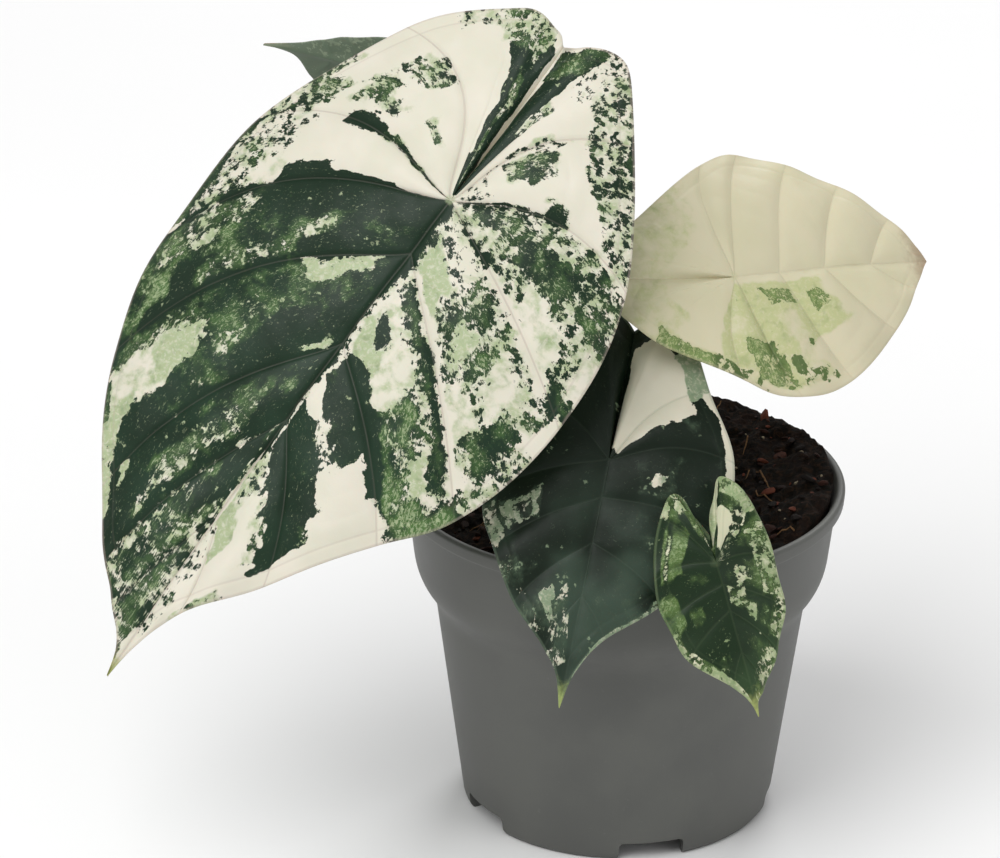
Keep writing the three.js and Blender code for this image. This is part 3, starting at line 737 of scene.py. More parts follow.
def blade_samples(name, blade, samples):
    """What the blade's shape and its material need to know at each point of its net."""
    v, s, sides = samples.T
    p = {"v": v, "s": s}
    for key in ("x", "y", "z", "distance", "room", "across"):
        p[key] = np.zeros(len(v))
    tones = np.zeros((len(TONE_FIELDS), len(v)))
    for side in (1, -1):
        here = sides == side
        vs, ss = v[here], s[here]
        xs, ys = flat_point(blade, vs, ss, side)
        p["x"][here], p["y"][here] = xs, ys
        p["z"][here] = relief(blade, vs, ss, side, xs, ys)
        p["room"][here] = blade_room(blade, vs, side)
        p["across"][here] = straight_through(np.append(0, np.cumsum(vein_gaps(blade, side))), vs)
        p["distance"][here] = vein_distance(blade, vs, ss, side, xs, ys)
        tones[:, here] = tones_at(blade, name, vs, ss, side, xs, ys)
    p["distance"][s == 0] = 0
    margin = np.where(s == 1, 0, margin_distance(blade, p["x"], p["y"]))
    p["margin"] = np.where(v < 0.02, 9, margin)
    p.update(zip(TONE_FIELDS, tones))
    return p


def edge_points(rim, p, upper, lower):
    """A row of points halfway down the edge and a little outside it."""
    ahead, behind = np.roll(rim, -1), np.roll(rim, 1)
    tangent = np.stack([p["x"][ahead] - p["x"][behind], p["y"][ahead] - p["y"][behind]], axis=1)
    tangent /= np.maximum(np.linalg.norm(tangent, axis=1, keepdims=True), 1e-6)
    outward = np.stack([tangent[:, 1], -tangent[:, 0]], axis=1)
    if np.sum(outward[: len(rim) // 2, 0]) < 0:
        outward = -outward
    edge = (upper[rim] + lower[rim]) / 2
    edge[:, :2] += EDGE_ROUNDING * outward
    return edge


def make_blade(name, blade, material):
    samples, faces, rim = blade_net(blade)
    p = blade_samples(name, blade, samples)
    top, bottom = blade_surfaces(blade, p)
    upper = np.stack([p["x"], p["y"], top], axis=1)
    lower = np.stack([p["x"], p["y"], bottom], axis=1)
    around = np.array(rim)
    edge = edge_points(around, p, upper, lower)
    points = placed(blade_matrix(blade), np.concatenate([upper, lower, edge]))
    count = len(top)
    all_faces = [*faces, *([k + count for k in reversed(face)] for face in faces)]
    for k in range(len(rim)):
        n = (k + 1) % len(rim)
        a, b = rim[k], rim[n]
        e, f = 2 * count + k, 2 * count + n
        all_faces.append([b, a, e, f])
        all_faces.append([f, e, a + count, b + count])

    def spread(values):
        """Values of the net, for the points of the top, of the bottom and of the edge."""
        return np.concatenate([values, values, values[around]])

    piece = mesh_piece("leaf_" + name, points, all_faces, material)
    under = np.concatenate([np.zeros(count), np.ones(count), np.full(len(rim), EDGE_UNDER)])
    flat = np.stack([spread(p["x"]), spread(p["y"]), under * 0], axis=1)
    add_values(piece, "flat", flat)
    add_values(piece, "under", under)
    add_values(piece, "vein_mm", spread(p["distance"]))
    add_values(piece, "margin_mm", spread(p["margin"]))
    starts = straight_through([row[0] for row in blade["veins"]], p["v"])
    outward = STREAKS_OUT * np.hypot(p["x"], p["y"] - starts)
    around_stalk = STREAKS_ACROSS * p["across"] + OTHER_HALF * (samples[:, 2] < 0)
    add_values(piece, "grain", spread(np.stack([outward, around_stalk, 0 * outward], axis=1)))
    length = blade["veins"][-1][0]
    add_values(piece, "to_tip_mm", spread(length - p["y"]))
    add_values(piece, "to_foot", spread(p["y"] / length))
    for field in TONE_FIELDS:
        add_values(piece, field, spread(p[field]))
    lay_out_uv(piece, flat, under)
    belongs(piece, LEAF_SLOTS[name], "blade_" + name)


# Room round the two layouts, as a share of their size.
UV_SIZE = 1.04
UV_SHIFT = 0.005


def lay_out_uv(piece, flat, under):
    """The blade laid flat twice, its top on the left and its underside on the right."""
    layer = piece.data.uv_layers.new(name="OFBake")
    low, high = flat[:, :2].min(axis=0), flat[:, :2].max(axis=0)
    size = (high - low).max() * UV_SIZE
    uv = (flat[:, :2] - low) / size
    uv[:, 0] = uv[:, 0] / 2 + np.where(under > 0.5, 0.5, 0) + UV_SHIFT
    loops = np.zeros(len(piece.data.loops), dtype=np.int32)
    piece.data.loops.foreach_get("vertex_index", loops)
    layer.data.foreach_set("uv", uv[loops].astype(np.float32).ravel())


LEAF_SLOTS = {
    "large": "leaf_marbled",
    "right": "leaf_cream",
    "centre": "leaf_dark",
    "small": "leaf_green",
    "back": "leaf_green",
}


# How far each noise pushes the border of the cream, of the fresh green and of the greenish cream.
CLOUD_PUSH, CLUMP_PUSH, LACE_PUSH = 2.0, 2.2, 2.3
FRESH_CLOUD_PUSH, FRESH_CLUMP_PUSH, FRESH_GRIT_PUSH = 3.6, 1.2, 1.2
SAGE_PUSH = 3.4
# How far the noises of one blade lie from those of the next, flat and along the streaks.
FLAT_STRIDE = (17.3, 9.1, 3.7)
STREAK_STRIDE = (5.3, 31.1, 2.7)


class LeafShader(Shader):
    """The skin of one blade, in layers that share some of their noises."""

    def __init__(self, name, look, seed):
        super().__init__("leaf_" + name)
        self.look = look
        self.flat = self.attribute("flat", "Vector")
        self.vein_mm = self.attribute("vein_mm")
        self.place = self.shifted(self.flat, tuple(seed * k for k in FLAT_STRIDE))
        grain = self.attribute("grain", "Vector")
        self.streaky = self.shifted(grain, tuple(seed * k for k in STREAK_STRIDE))
        self.clouds = self.noise(self.place, 1 / 7, 3, 0.5, 0.4)
        self.clumps = self.noise(self.place, 1 / 2.6, 5, 0.6, 0.7)
        self.grit = self.noise(self.streaky, 1 / 0.9, 5, 0.7, 0.5)

    def border(self):
        """Above zero in the cream and below it in the green, along ragged edges."""
        cream_here = self.attribute("cream")
        lace = self.noise(self.streaky, 1 / 0.9, 4, 0.65, 0.9)
        pushes = (self.clouds, CLOUD_PUSH), (self.clumps, CLUMP_PUSH), (lace, LACE_PUSH)
        # Where cream prevails the green gathers in knots.
        knots, _ = self.cells(self.wobbled(self.place, 1 / 1.1, 2.4), 1 / 2.1)
        knotty = self.step(cream_here, -0.7, 0.3, 0, 1.5)
        return self.plus(self.ragged(cream_here, *pushes), self.minus(knots, 0.42), knotty)

    def fresh_part(self, border, painted_vein_shade):
        """Soft clouds of fresh green in the dark green, away from edges, and thinned by painted shade
        along the veins.
        """
        clouds = self.noise(self.place, 1 / 8, 3, 0.55, 0.3)
        pushes = (clouds, FRESH_CLOUD_PUSH), (self.clumps, FRESH_CLUMP_PUSH)
        gritty = (self.grit, FRESH_GRIT_PUSH * self.look["grit"])
        fresh = self.ragged(self.attribute("fresh"), *pushes, gritty)
        fresh = self.step(self.plus(fresh, painted_vein_shade, -0.7), -0.55, 0.8)
        return self.times(fresh, self.step(border, -0.8, 0.0, 1, 0.35))

    def flecks(self, fresh, painted_vein_shade):
        """Round pale flecks, in groups, fewer in the painted shade along the veins."""
        fleck, chance = self.cells(self.wobbled(self.place, 1 / 0.8, 2.0), 1 / 1.4)
        chosen = self.plus(self.plus(chance, fresh, 0.3), self.clouds, 1.1)
        chosen = self.step(self.plus(chosen, painted_vein_shade, -0.3), 1.42, 1.52)
        return self.times(chosen, self.step(self.plus(fleck, self.grit, 0.9), 0.68, 0.82, 0.75, 0))

    def green_skin(self, border):
        """Dark green with a slow painted sheen, painted shade along the veins, fresh clouds, pale grit
        and flecks.
        """
        look = self.look
        # Painted shade: the green darkens towards the veins, where fresh clouds, grit and flecks thin
        # out.
        painted_vein_shade = self.step(self.vein_mm, 0.2, 3.2, 1, 0)
        fresh = self.fresh_part(border, painted_vein_shade)
        # Painted sheen: in slow clouds towards the tip the dark green turns to a lighter sheen colour.
        sheen = self.step(self.noise(self.place, 1 / 19, 2), 0.36, 0.66)
        sheen = self.times(sheen, self.step(self.attribute("to_foot"), -0.1, 0.5))
        green = self.mix(fresh, self.mix(sheen, look["dark"], look["painted_sheen"]), look["fresh"])
        speck = self.noise(self.streaky, 1 / 0.6, 4, 0.65, 1.0)
        speck = self.plus(self.plus(speck, fresh, 0.14), painted_vein_shade, -0.06)
        speck = self.times(self.step(speck, 0.62, 0.68), 0.6 * look["grit"])
        green = self.mix(speck, green, look["sage"])
        return self.mix(self.flecks(fresh, painted_vein_shade), green, look["sage"])

    def cream_skin(self):
        """Cream with greenish clouds, and with grains of cream and of green in those."""
        look = self.look
        grain = self.step(self.noise(self.place, 1 / 1.3, 4, 0.7, 0.6), 0.45, 0.7, 0, 0.55)
        shade = self.step(self.noise(self.place, 1 / 3.4, 3, 0.55, 0.4), 0.5, 0.72, 0, 0.35)
        sage = self.mix(shade, self.mix(grain, look["sage"], look["cream"]), look["fresh"])
        clouds = self.noise(self.place, 1 / 4, 4, 0.55, 0.2)
        sage_part = self.ragged(self.attribute("sage"), (clouds, SAGE_PUSH))
        sage_part = self.step(sage_part, -look["wash"], look["wash"])
        pale = self.step(self.noise(self.place, 1 / 14, 2), 0.3, 0.7, 0, 0.16)
        return self.mix(sage_part, self.mix(pale, look["cream"], look["sage"]), sage)

    def upper_skin(self, vein):
        """Both skins, with veins, the margin and its vein, the tip and the star of veins."""
        look = self.look
        border = self.border()
        margin_mm = self.attribute("margin_mm")
        edge_vein = self.math("ABSOLUTE", self.minus(margin_mm, EDGE_VEIN))
        line = self.math("MAXIMUM", vein, self.step(edge_vein, 0.08, 0.4, 0.6, 0))
        in_cream, in_green = look["lines"]
        cream = self.mix(self.times(line, in_cream), self.cream_skin(), look["vein"])
        green = self.mix(self.times(line, in_green), self.green_skin(border), look["vein"])
        colour = self.mix(self.step(border, -0.09, 0.13), green, cream)
        colour = self.mix(self.step(margin_mm, 0.25, 0.7, 0.3, 0), colour, look["vein"])
        tip = self.plus(self.attribute("to_tip_mm"), self.clumps, 8)
        colour = self.mix(self.step(tip, 5, 12, 0.9, 0), colour, look["tip"])
        star = self.plus(self.length(self.flat), self.clumps, 2.4)
        return self.mix(self.step(star, 1.8, 3.0, look["star"], 0), colour, look["sage"])

    def both_sides(self, colour):
        """The underside shows the same marbling through a paler skin, and its ribs paler still."""
        under = self.step(self.attribute("under"), 0.45, 0.55)
        colour = self.mix(self.times(under, 0.66), colour, self.look["back"])
        rib = self.times(self.step(self.vein_mm, 0.3, 1.1, 0.55, 0), under)
        return self.mix(rib, colour, self.look["vein"])


def leaf_material(name, look, seed):
    m = LeafShader(name, look, seed)
    vein = m.step(m.vein_mm, 0.1, 0.42, 1, 0)
    height = m.plus(m.plus(m.noise(m.place, 1 / 2.6, 3), m.grit, 0.25), vein, -0.6)
    return m.finish(
        Base_Color=m.both_sides(m.upper_skin(vein)),
        Roughness=m.step(m.noise(m.place, 1 / 6, 3), 0.3, 0.7, 0.4, 0.52),
        Normal=m.bump(height, 0.00016, 0.5),
        Specular_IOR_Level=look["shine"],
        Subsurface_Weight=0.06,
        Subsurface_Scale=0.0012,
    )


# Stalks and crown, in the model's numbers.
CROWN_R = 9.5
CROWN_CENTRE_Z = 88
CROWN_BOTTOM_Z = 66
STALKS = {
    "large": {"leaves": (-0.5, -0.05, 0.86), "through": [(-14, 0, 125), (-30, -8, 160)],
              "r": (3.4, 2.2), "slant": 0},
    "right": {"leaves": (0.55, 0.1, 0.83), "through": [(13, 2, 118), (23, 0, 140)],
              "r": (3, 1.8), "slant": 0},
    "centre": {"leaves": (-0.2, -0.72, 0.66), "through": [(-4, -22, 108)],
               "r": (2.8, 1.7), "slant": 0},
    "small": {"leaves": (0.5, -0.62, 0.6), "through": [(20, -26, 102), (30, -50, 103)],
              "r": (2.5, 1.3), "slant": 0},
    "back": {"leaves": (-0.15, 0.62, 0.77), "through": [(-8, 14, 125), (-22, 17, 160)],
             "r": (3, 1.8), "slant": 1},
}


# How many steps a curve takes from one given point to the next.
PATH_STEPS = 40
# Which two knots each point of each level lies between, from four points down to one.
PYRAMID = [((0, 1), (1, 2), (2, 3)), ((0, 2), (1, 3)), ((1, 2),)]


def smooth_path(points, steps):
    """Evenly spaced points on a centripetal curve through the given ones, and its length."""
    points = np.asarray(points, dtype=float)
    ends = [2 * points[0] - points[1], *points, 2 * points[-1] - points[-2]]
    path = []
    for k in range(len(points) - 1):
        four = ends[k : k + 4]
        knots = [0.0]
        for a, b in zip(four, four[1:]):
            knots.append(knots[-1] + np.linalg.norm(b - a) ** 0.5)
        for t in np.linspace(knots[1], knots[2], PATH_STEPS, endpoint=False):
            level = four
            for spans in PYRAMID:
                level = [
                    (level[i] * (knots[b] - t) + level[i + 1] * (t - knots[a])) / (knots[b] - knots[a])
                    for i, (a, b) in enumerate(spans)
                ]
            path.append(level[0])
    path = np.array([*path, points[-1]])
    run = np.concatenate([[0], np.cumsum(np.linalg.norm(np.diff(path, axis=0), axis=1))])
    even = np.linspace(0, run[-1], steps + 1)
    return np.stack([np.interp(even, run, path[:, k]) for k in range(3)], axis=1), run[-1]


# A stalk starts inside the crown, leaves it on a straight run, and ends inside the midrib.
STALK_ROOT = 1.5
STALK_STRAIGHT = 7.9
STALK_END_Z = -1.6
# It comes up to a point below the blade from straight below or, if it slants, from the notch.
STALK_JOINT_Z = -3.0
STALK_APPROACH = 8
STALK_SIDES = 28


def stalk_course(stalk, blade):
    """The points that a stalk runs through, from the crown to its blade."""
    away = Vector(stalk["leaves"]).normalized()
    foot = Vector((0, 0, CROWN_CENTRE_Z)) + away * (CROWN_R - STALK_ROOT)
    under = STALK_JOINT_Z - stalk["slant"] * stalk["r"][1]
    ends = ((-STALK_APPROACH * stalk["slant"], under - STALK_APPROACH), (0, under), (0, STALK_END_Z))
    top = [blade_matrix(blade) @ Vector((0, y, z)) for y, z in ends]
    return [tuple(point) for point in (foot, foot + away * STALK_STRAIGHT, *stalk["through"], *top)]


def stalk_section(along, angles):
    """How far the skin stands out round a stalk: a furrowed sheath at the foot, a thicker end."""
    sheath = np.clip(1 - along / 0.38, 0, 1) ** 0.7
    swell = 1 + 0.16 * np.clip((along - 0.955) / 0.045, 0, 1)
    furrow = np.exp(-((np.minimum(angles, 2 * np.pi - angles) / 0.3) ** 2))
    shape = 1 + 0.12 * sheath * np.cos(2 * angles) - 0.34 * sheath * furrow
    return shape * swell + 0.012 * np.sin(3 * angles + 9 * along)


def make_stalk(name, stalk, blade, material):
    course = stalk_course(stalk, blade)
    centres, length = smooth_path(course, max(40, 12 * len(course)))
    rings = len(centres)
    forward = np.gradient(centres, axis=0)
    forward /= np.linalg.norm(forward, axis=1, keepdims=True)
    inward = np.array([0.0, 0.0, 1.0]) - forward[0] * forward[0][2]
    angles = np.linspace(0, 2 * np.pi, STALK_SIDES, endpoint=False)
    foot_r, top_r = stalk["r"]
    points, skin = [], []
    for k, centre in enumerate(centres):
        inward = inward - forward[k] * (inward @ forward[k])
        inward /= np.linalg.norm(inward)
        across = np.cross(forward[k], inward)
        along = k / (rings - 1)
        radius = top_r + (foot_r - top_r) * (1 - along) ** 1.6
        spokes = np.cos(angles)[:, None] * inward + np.sin(angles)[:, None] * across
        points.append(centre + radius * stalk_section(along, angles)[:, None] * spokes)
        skin += [(radius * angle, along * length, 0) for angle in angles]
    points = np.concatenate([*points, [centres[0], centres[-1]]])
    skin = np.array([*skin, (0, 0, 0), (0, length, 0)])
    piece = mesh_piece("stalk_skin_" + name, points, tube_faces(rings, STALK_SIDES), material)
    add_values(piece, "skin", skin)
    add_values(piece, "height", skin[:, 1] / length)
    belongs(piece, "stalk", "stalk_" + name)


def stalk_material():
    m = Shader("stalk")
    skin = m.attribute("skin", "Vector")
    streaks = m.noise(m.scaled(skin, (1.0, 0.22, 1.0)), 0.9, 6, 0.62, 0.6)
    bands = m.noise(m.scaled(skin, (0.35, 1.0, 1.0)), 0.55, 4, 0.6, 0.9)
    colour = m.mix(m.step(streaks, 0.35, 0.65), srgb(170, 182, 130), srgb(126, 148, 92))
    mottle = m.times(m.step(m.plus(bands, streaks, 0.5), 0.78, 0.84), 0.7)
    colour = m.mix(mottle, colour, srgb(92, 84, 58))
    foot = m.step(m.attribute("height"), 0.02, 0.3, 0.75, 0)
    return m.finish(
        Base_Color=m.mix(foot, colour, srgb(196, 190, 160)),
        Normal=m.bump(streaks, 0.0002, 0.5),
        Roughness=0.42,
        Subsurface_Weight=0.08,
        Subsurface_Scale=0.0015,
    )


# How far apart the rings lie that old leaves left on the crown, and the steps of its outline.
SCAR_PITCH = 7
CROWN_STEP = 0.7
CROWN_TOP_STEPS = 14


def make_crown(material):
    """A short upright stem with the rings that old leaves left on it, and a round top."""
    low = CROWN_BOTTOM_Z
    profile = [(0, low), (CROWN_R - 2.5, low), (CROWN_R - 1, low + 2)]
    z = low + 3
    while z < CROWN_CENTRE_Z:
        ring = 0.5 + 0.5 * math.cos(2 * math.pi * (z - low - 6) / SCAR_PITCH)
        profile.append((CROWN_R - 0.8 + 0.8 * ring**3, z))
        z += CROWN_STEP
    for step in range(CROWN_TOP_STEPS + 1):
        angle = step / CROWN_TOP_STEPS * math.pi / 2
        profile.append((CROWN_R * math.cos(angle), CROWN_CENTRE_Z + CROWN_R * math.sin(angle)))
    profile[-1] = (0, profile[-1][1])
    piece = turned_piece("crown_stem", profile, 56, material)
    for vertex in piece.data.vertices:
        x, y, z = vertex.co / MM
        r = math.hypot(x, y)
        if r > 1:
            angle = math.atan2(y, x)
            lump = 0.35 * math.sin(3 * angle + z * 0.4) + 0.25 * math.sin(7 * angle - z)
            push = 1 + lump * min(r / CROWN_R, 1) / CROWN_R
            vertex.co = Vector((x * push, y * push, z)) * MM
    belongs(piece, "stalk", "crown")


def crown_material():
    m = Shader("crown")
    place = m.position_mm()
    fibres = m.noise(m.scaled(place, (1.0, 1.0, 0.25)), 0.8, 6, 0.65, 0.5)
    colour = m.mix(m.step(fibres, 0.38, 0.62), srgb(150, 140, 92), srgb(86, 68, 44))
    return m.finish(Base_Color=colour, Normal=m.bump(fibres, 0.0004, 0.7), Roughness=0.62)


# The pot, in the model's numbers.
LIP_R = 60
FOOT_R = 41.9
FLOOR_Z = 5.5
NOTCHES = 5
NOTCH_ANGLE = 24
NOTCH_CORNER = 1.5
FIRST_NOTCH = 12
DRAIN_HOLES = 10
DRAIN_HOLE_R = 3.5
DRAIN_HOLE_Z = FLOOR_Z + 0.8
DRAIN_RING_R = 27
POT_SIDES = 180
# Edges that bend by less than this look smooth.
SMOOTH_DEGREES = 32

# Radius and height down the outside from the middle of the floor, then back up the inside. The
# third number rounds the corner.
POT_PROFILE = [
    (0, 0, 0), (13, 0, 0.6), (15, 5.5, 0.8), (37.5, 5.5, 0.8), (38.5, 0, 0.4), (40.9, 0, 0.5),
    (42.1, 1.6, 0.6), (50, 60, 3), (51.6, 63.4, 2), (54.0, 66.8, 2), (55.6, 71, 3),
    (57.7, 88.8, 1.0), (59.7, 89.6, 0.7), (60, 92.9, 0.6), (59.2, 93.5, 0.4), (58.0, 93.4, 0.5),
    (57.1, 91.9, 0.6), (56.1, 89.5, 1), (54, 71, 2), (52.4, 67.6, 2), (49.6, 63.6, 2),
    (48.4, 60, 2), (41.3, 7.1, 0.6), (13.9, 7.1, 0.6), (11.8, 1.6, 0.4), (0, 1.6, 0),
]


def rounded(profile, cuts=4):
    """The profile with each corner cut into a short smooth bend."""
    result = [profile[0][:2]]
    for before, corner, after in zip(profile, profile[1:], profile[2:]):
        here = np.array(corner[:2], dtype=float)
        arms = []
        for other in (before, after):
            arm = np.array(other[:2]) - here
            arms.append(arm / np.linalg.norm(arm) * min(corner[2], np.linalg.norm(arm) * 0.45))
        for t in np.linspace(0, 1, cuts + 1):
            point = here + arms[0] * (1 - t) ** 2 + arms[1] * t**2
            result.append(tuple(point))
    result.append(profile[-1][:2])
    return result


def turned_piece(name, profile, sides, material):
    """A closed solid turned about Z from a profile that starts and ends on the axis."""
    inner = profile[1:-1]
    angles = np.linspace(0, 2 * np.pi, sides, endpoint=False)
    points = [(r * math.cos(a), r * math.sin(a), z) for r, z in inner for a in angles]
    points += [(0, 0, profile[0][1]), (0, 0, profile[-1][1])]
    return mesh_piece(name, points, tube_faces(len(inner), sides), material)


def notch_outline(half, low, top, corner, steps=4):
    """Width and height round a notch: straight sides, and two rounded corners at its top."""
    outline = [(-half, low), (half, low)]
    for side, start in ((1, 0), (-1, math.pi / 2)):
        for k in range(steps + 1):
            angle = start + k / steps * math.pi / 2
            x = side * (half - corner) + corner * math.cos(angle)
            outline.append((x, top - corner + corner * math.sin(angle)))
    return outline


def add_notch_cutter(cutters, degrees, outline, near, far):
    turn = Matrix.Rotation(math.radians(degrees), 3, "Z")
    loops = []
    for depth in (near, far):
        loops.append([cutters.verts.new(turn @ Vector((x, -depth, z)) * MM) for x, z in outline])
    cutters.faces.new(loops[0])
    cutters.faces.new(reversed(loops[1]))
    for k in range(len(outline)):
        n = (k + 1) % len(outline)
        cutters.faces.new([loops[0][n], loops[0][k], loops[1][k], loops[1][n]])


def add_hole_cutter(cutters, degrees):
    centre = Matrix.Rotation(math.radians(degrees), 3, "Z") @ Vector((0, -DRAIN_RING_R, 0))
    bmesh.ops.create_cone(
        cutters,
        cap_ends=True,
        segments=32,
        radius1=DRAIN_HOLE_R * MM,
        radius2=DRAIN_HOLE_R * MM,
        depth=6 * MM,
        matrix=Matrix.Translation((centre + Vector((0, 0, DRAIN_HOLE_Z))) * MM),
    )


def cut_away(piece, cutters):
    """Takes the cutters out of the piece and frees them."""
    bmesh.ops.recalc_face_normals(cutters, faces=cutters.faces)
    mesh = bpy.data.meshes.new("cutters")
    cutters.to_mesh(mesh)
    cutters.free()
    tool = bpy.data.objects.new("cutters", mesh)
    bpy.context.collection.objects.link(tool)
    cut = piece.modifiers.new("cut", "BOOLEAN")
    cut.operation = "DIFFERENCE"
    cut.solver = "EXACT"
    cut.object = tool
    apply_modifiers(piece)
    bpy.data.objects.remove(tool)


def make_pot(material):
    pot = turned_piece("pot_shell", rounded(POT_PROFILE), POT_SIDES, material)
    cutters = bmesh.new()
    half = math.tan(math.radians(NOTCH_ANGLE / 2)) * FOOT_R
    outline = notch_outline(half, -2, FLOOR_Z - 0.1, NOTCH_CORNER)
    for i in range(NOTCHES):
        add_notch_cutter(cutters, FIRST_NOTCH + 360 / NOTCHES * i, outline, FOOT_R - 6, FOOT_R + 6)
    for i in range(DRAIN_HOLES):
        add_hole_cutter(cutters, 360 / DRAIN_HOLES * i)
    cut_away(pot, cutters)
    shade_by_angle(pot, SMOOTH_DEGREES)
    belongs(pot, "pot_plastic", "pot")


def apply_modifiers(piece):
    graph = bpy.context.evaluated_depsgraph_get()
    mesh = bpy.data.meshes.new_from_object(piece.evaluated_get(graph))
    piece.modifiers.clear()
    piece.data = mesh


def shade_by_angle(piece, degrees):
    """Smooth shading but for sharp edges. Slivers that the cutting left are taken out first."""
    mesh = bmesh.new()
    mesh.from_mesh(piece.data)
    bmesh.ops.dissolve_degenerate(mesh, dist=0.001 * MM, edges=mesh.edges)
    for face in mesh.faces:
        face.smooth = True
    for edge in mesh.edges:
        edge.smooth = len(edge.link_faces) == 2 and edge.calc_face_angle() < math.radians(degrees)
    mesh.to_mesh(piece.data)
    mesh.free()


def pot_material():
    m = Shader("pot_plastic")
    place = m.position_mm()
    grain = m.noise(place, 2.2, 4, 0.7)
    clouds = m.noise(place, 1 / 22, 3, 0.5)
    dust = m.noise(place, 1 / 1.5, 6, 0.72, 0.3)
    colour = m.mix(m.step(clouds, 0.3, 0.7), srgb(83, 84, 81), srgb(91, 92, 88))
    colour = m.mix(m.times(m.step(dust, 0.62, 0.7), 0.2), colour, srgb(122, 122, 119))
    return m.finish(
        Base_Color=colour,
        Roughness=m.step(clouds, 0.3, 0.7, 0.46, 0.56),
        Normal=m.bump(grain, 0.00006, 0.6),
        Specular_IOR_Level=0.4,
    )


# The soil, in the model's numbers but for its bank and its finer lumps.
SOIL_EDGE_Z = 88
SOIL_HEAP = 3
SOIL_R = 55.2
SOIL_RINGS = 96
SOIL_SIDES = 300
# Radius and height down the soil's side.
SOIL_WALL = [(55.3, 86.5), (53.5, 71), (47.9, 60), (40.9, 7.4)]
# The soil lies higher at the back and the right, up to and above the lip.
BANK_DIRECTION = math.radians(58)
BANK_HEIGHT = 7.4
BANK_INNER_R = 32
BANK_RISE = 22
BANK_BULGE = 1.5
BULGE_INNER_R = 46
# The finer lumps start this far below the model's smooth top.
LUMPS_DOWN = 0.6


def eased(t):
    t = np.clip(t, 0, 1)
    return t * t * (3 - 2 * t)


def soil_bank(angle):
    """From 0, in front on the left, to 1, at the back on the right."""
    return eased((np.cos(angle - BANK_DIRECTION) + 0.6) / 1.1)


def soil_top(x, y):
    r = np.hypot(x, y)
    bank = BANK_HEIGHT * soil_bank(np.arctan2(y, x)) * eased((r - BANK_INNER_R) / BANK_RISE)
    base = SOIL_EDGE_Z + SOIL_HEAP * np.cos(np.minimum(r / LIP_R, 1) * np.pi / 2)
    crumbs = 1.5 * smooth_noise(x, y, 9, 41) + 1.1 * smooth_noise(x, y, 4, 42)
    crumbs = crumbs + 0.9 * np.abs(smooth_noise(x, y, 2.2, 43)) + 0.45 * smooth_noise(x, y, 1.1, 44)
    return base - LUMPS_DOWN + crumbs + bank


def soil_height(x, y):
    return float(soil_top(np.array(x), np.array(y)))


def make_soil(material):
    radii = np.linspace(0, SOIL_R, SOIL_RINGS + 1)[1:]
    angles = np.linspace(0, 2 * np.pi, SOIL_SIDES, endpoint=False)
    wobble = 0.25 * smooth_noise(radii[:, None] * 3, angles[None, :] * 40, 1, 45)
    wobble[-1] = 0
    r = radii[:, None] + wobble
    r = r + BANK_BULGE * soil_bank(angles) * eased((r - BULGE_INNER_R) / (SOIL_R - BULGE_INNER_R))
    x, y = r * np.cos(angles), r * np.sin(angles)
    top = np.stack([x, y, soil_top(x, y)], axis=-1).reshape(-1, 3)
    wall = [(wide * math.cos(a), wide * math.sin(a), z) for wide, z in SOIL_WALL for a in angles]
    middles = [(0, 0, soil_height(0, 0)), (0, 0, SOIL_WALL[-1][1])]
    faces = tube_faces(SOIL_RINGS + len(SOIL_WALL), SOIL_SIDES)
    points = np.concatenate([top, wall, middles])
    # The rings run down from the middle of the top, so the faces are turned over.
    piece = mesh_piece("soil_bed", points, [face[::-1] for face in faces], material)
    belongs(piece, "soil", "soil")


def soil_material():
    m = Shader("soil")
    place = m.position_mm()
    crumbs = m.noise(place, 1 / 1.6, 8, 0.7, 0.6)
    patches = m.noise(place, 1 / 9, 3, 0.6)
    # The crumbs also raise the bump: their raised tops are brown and the hollows between them near black,
    # partly the soil's own colour and partly painted light on the tops and painted shade in the hollows.
    colour = m.mix(m.step(crumbs, 0.44, 0.72), srgb(8, 6, 3), srgb(50, 32, 18))
    colour = m.mix(m.times(m.step(patches, 0.5, 0.7), 0.5), colour, srgb(32, 17, 11))
    moss = m.step(m.noise(place, 1 / 6, 5, 0.7, 0.5), 0.64, 0.7)
    colour = m.mix(m.times(moss, 0.4), colour, srgb(46, 52, 22))
    normal = m.bump(crumbs, 0.0012, 0.9)
    return m.finish(Base_Color=colour, Normal=normal, Roughness=0.95, Specular_IOR_Level=0.15)


CHIPS = 640
CHIP_R = 54.6
GRAINS = 60
# How many flat faces a chip or a grain is cut to, how rough it is and how far it tilts.
CHIP_FACES = 7
CHIP_ROUGHNESS = 0.072
CHIP_TILT = 0.35
FIBRES = 46
FIBRE_R = 51
FIBRE_END_R = 54
FIBRE_SIDES = 6
FIBRE_STEP = 1.1
FIBRE_CLEARANCE = 0.35
FIBRE_SHADE = 0.84


def unit_ball():
    """Points and triangles of a ball with a radius of 1."""
    ball = bmesh.new()
    bmesh.ops.create_icosphere(ball, subdivisions=2, radius=1)
    ball.verts.ensure_lookup_table()
    points = np.array([v.co[:] for v in ball.verts])
    triangles = [[v.index for v in f.verts] for f in ball.faces]
    ball.free()
    return points, triangles


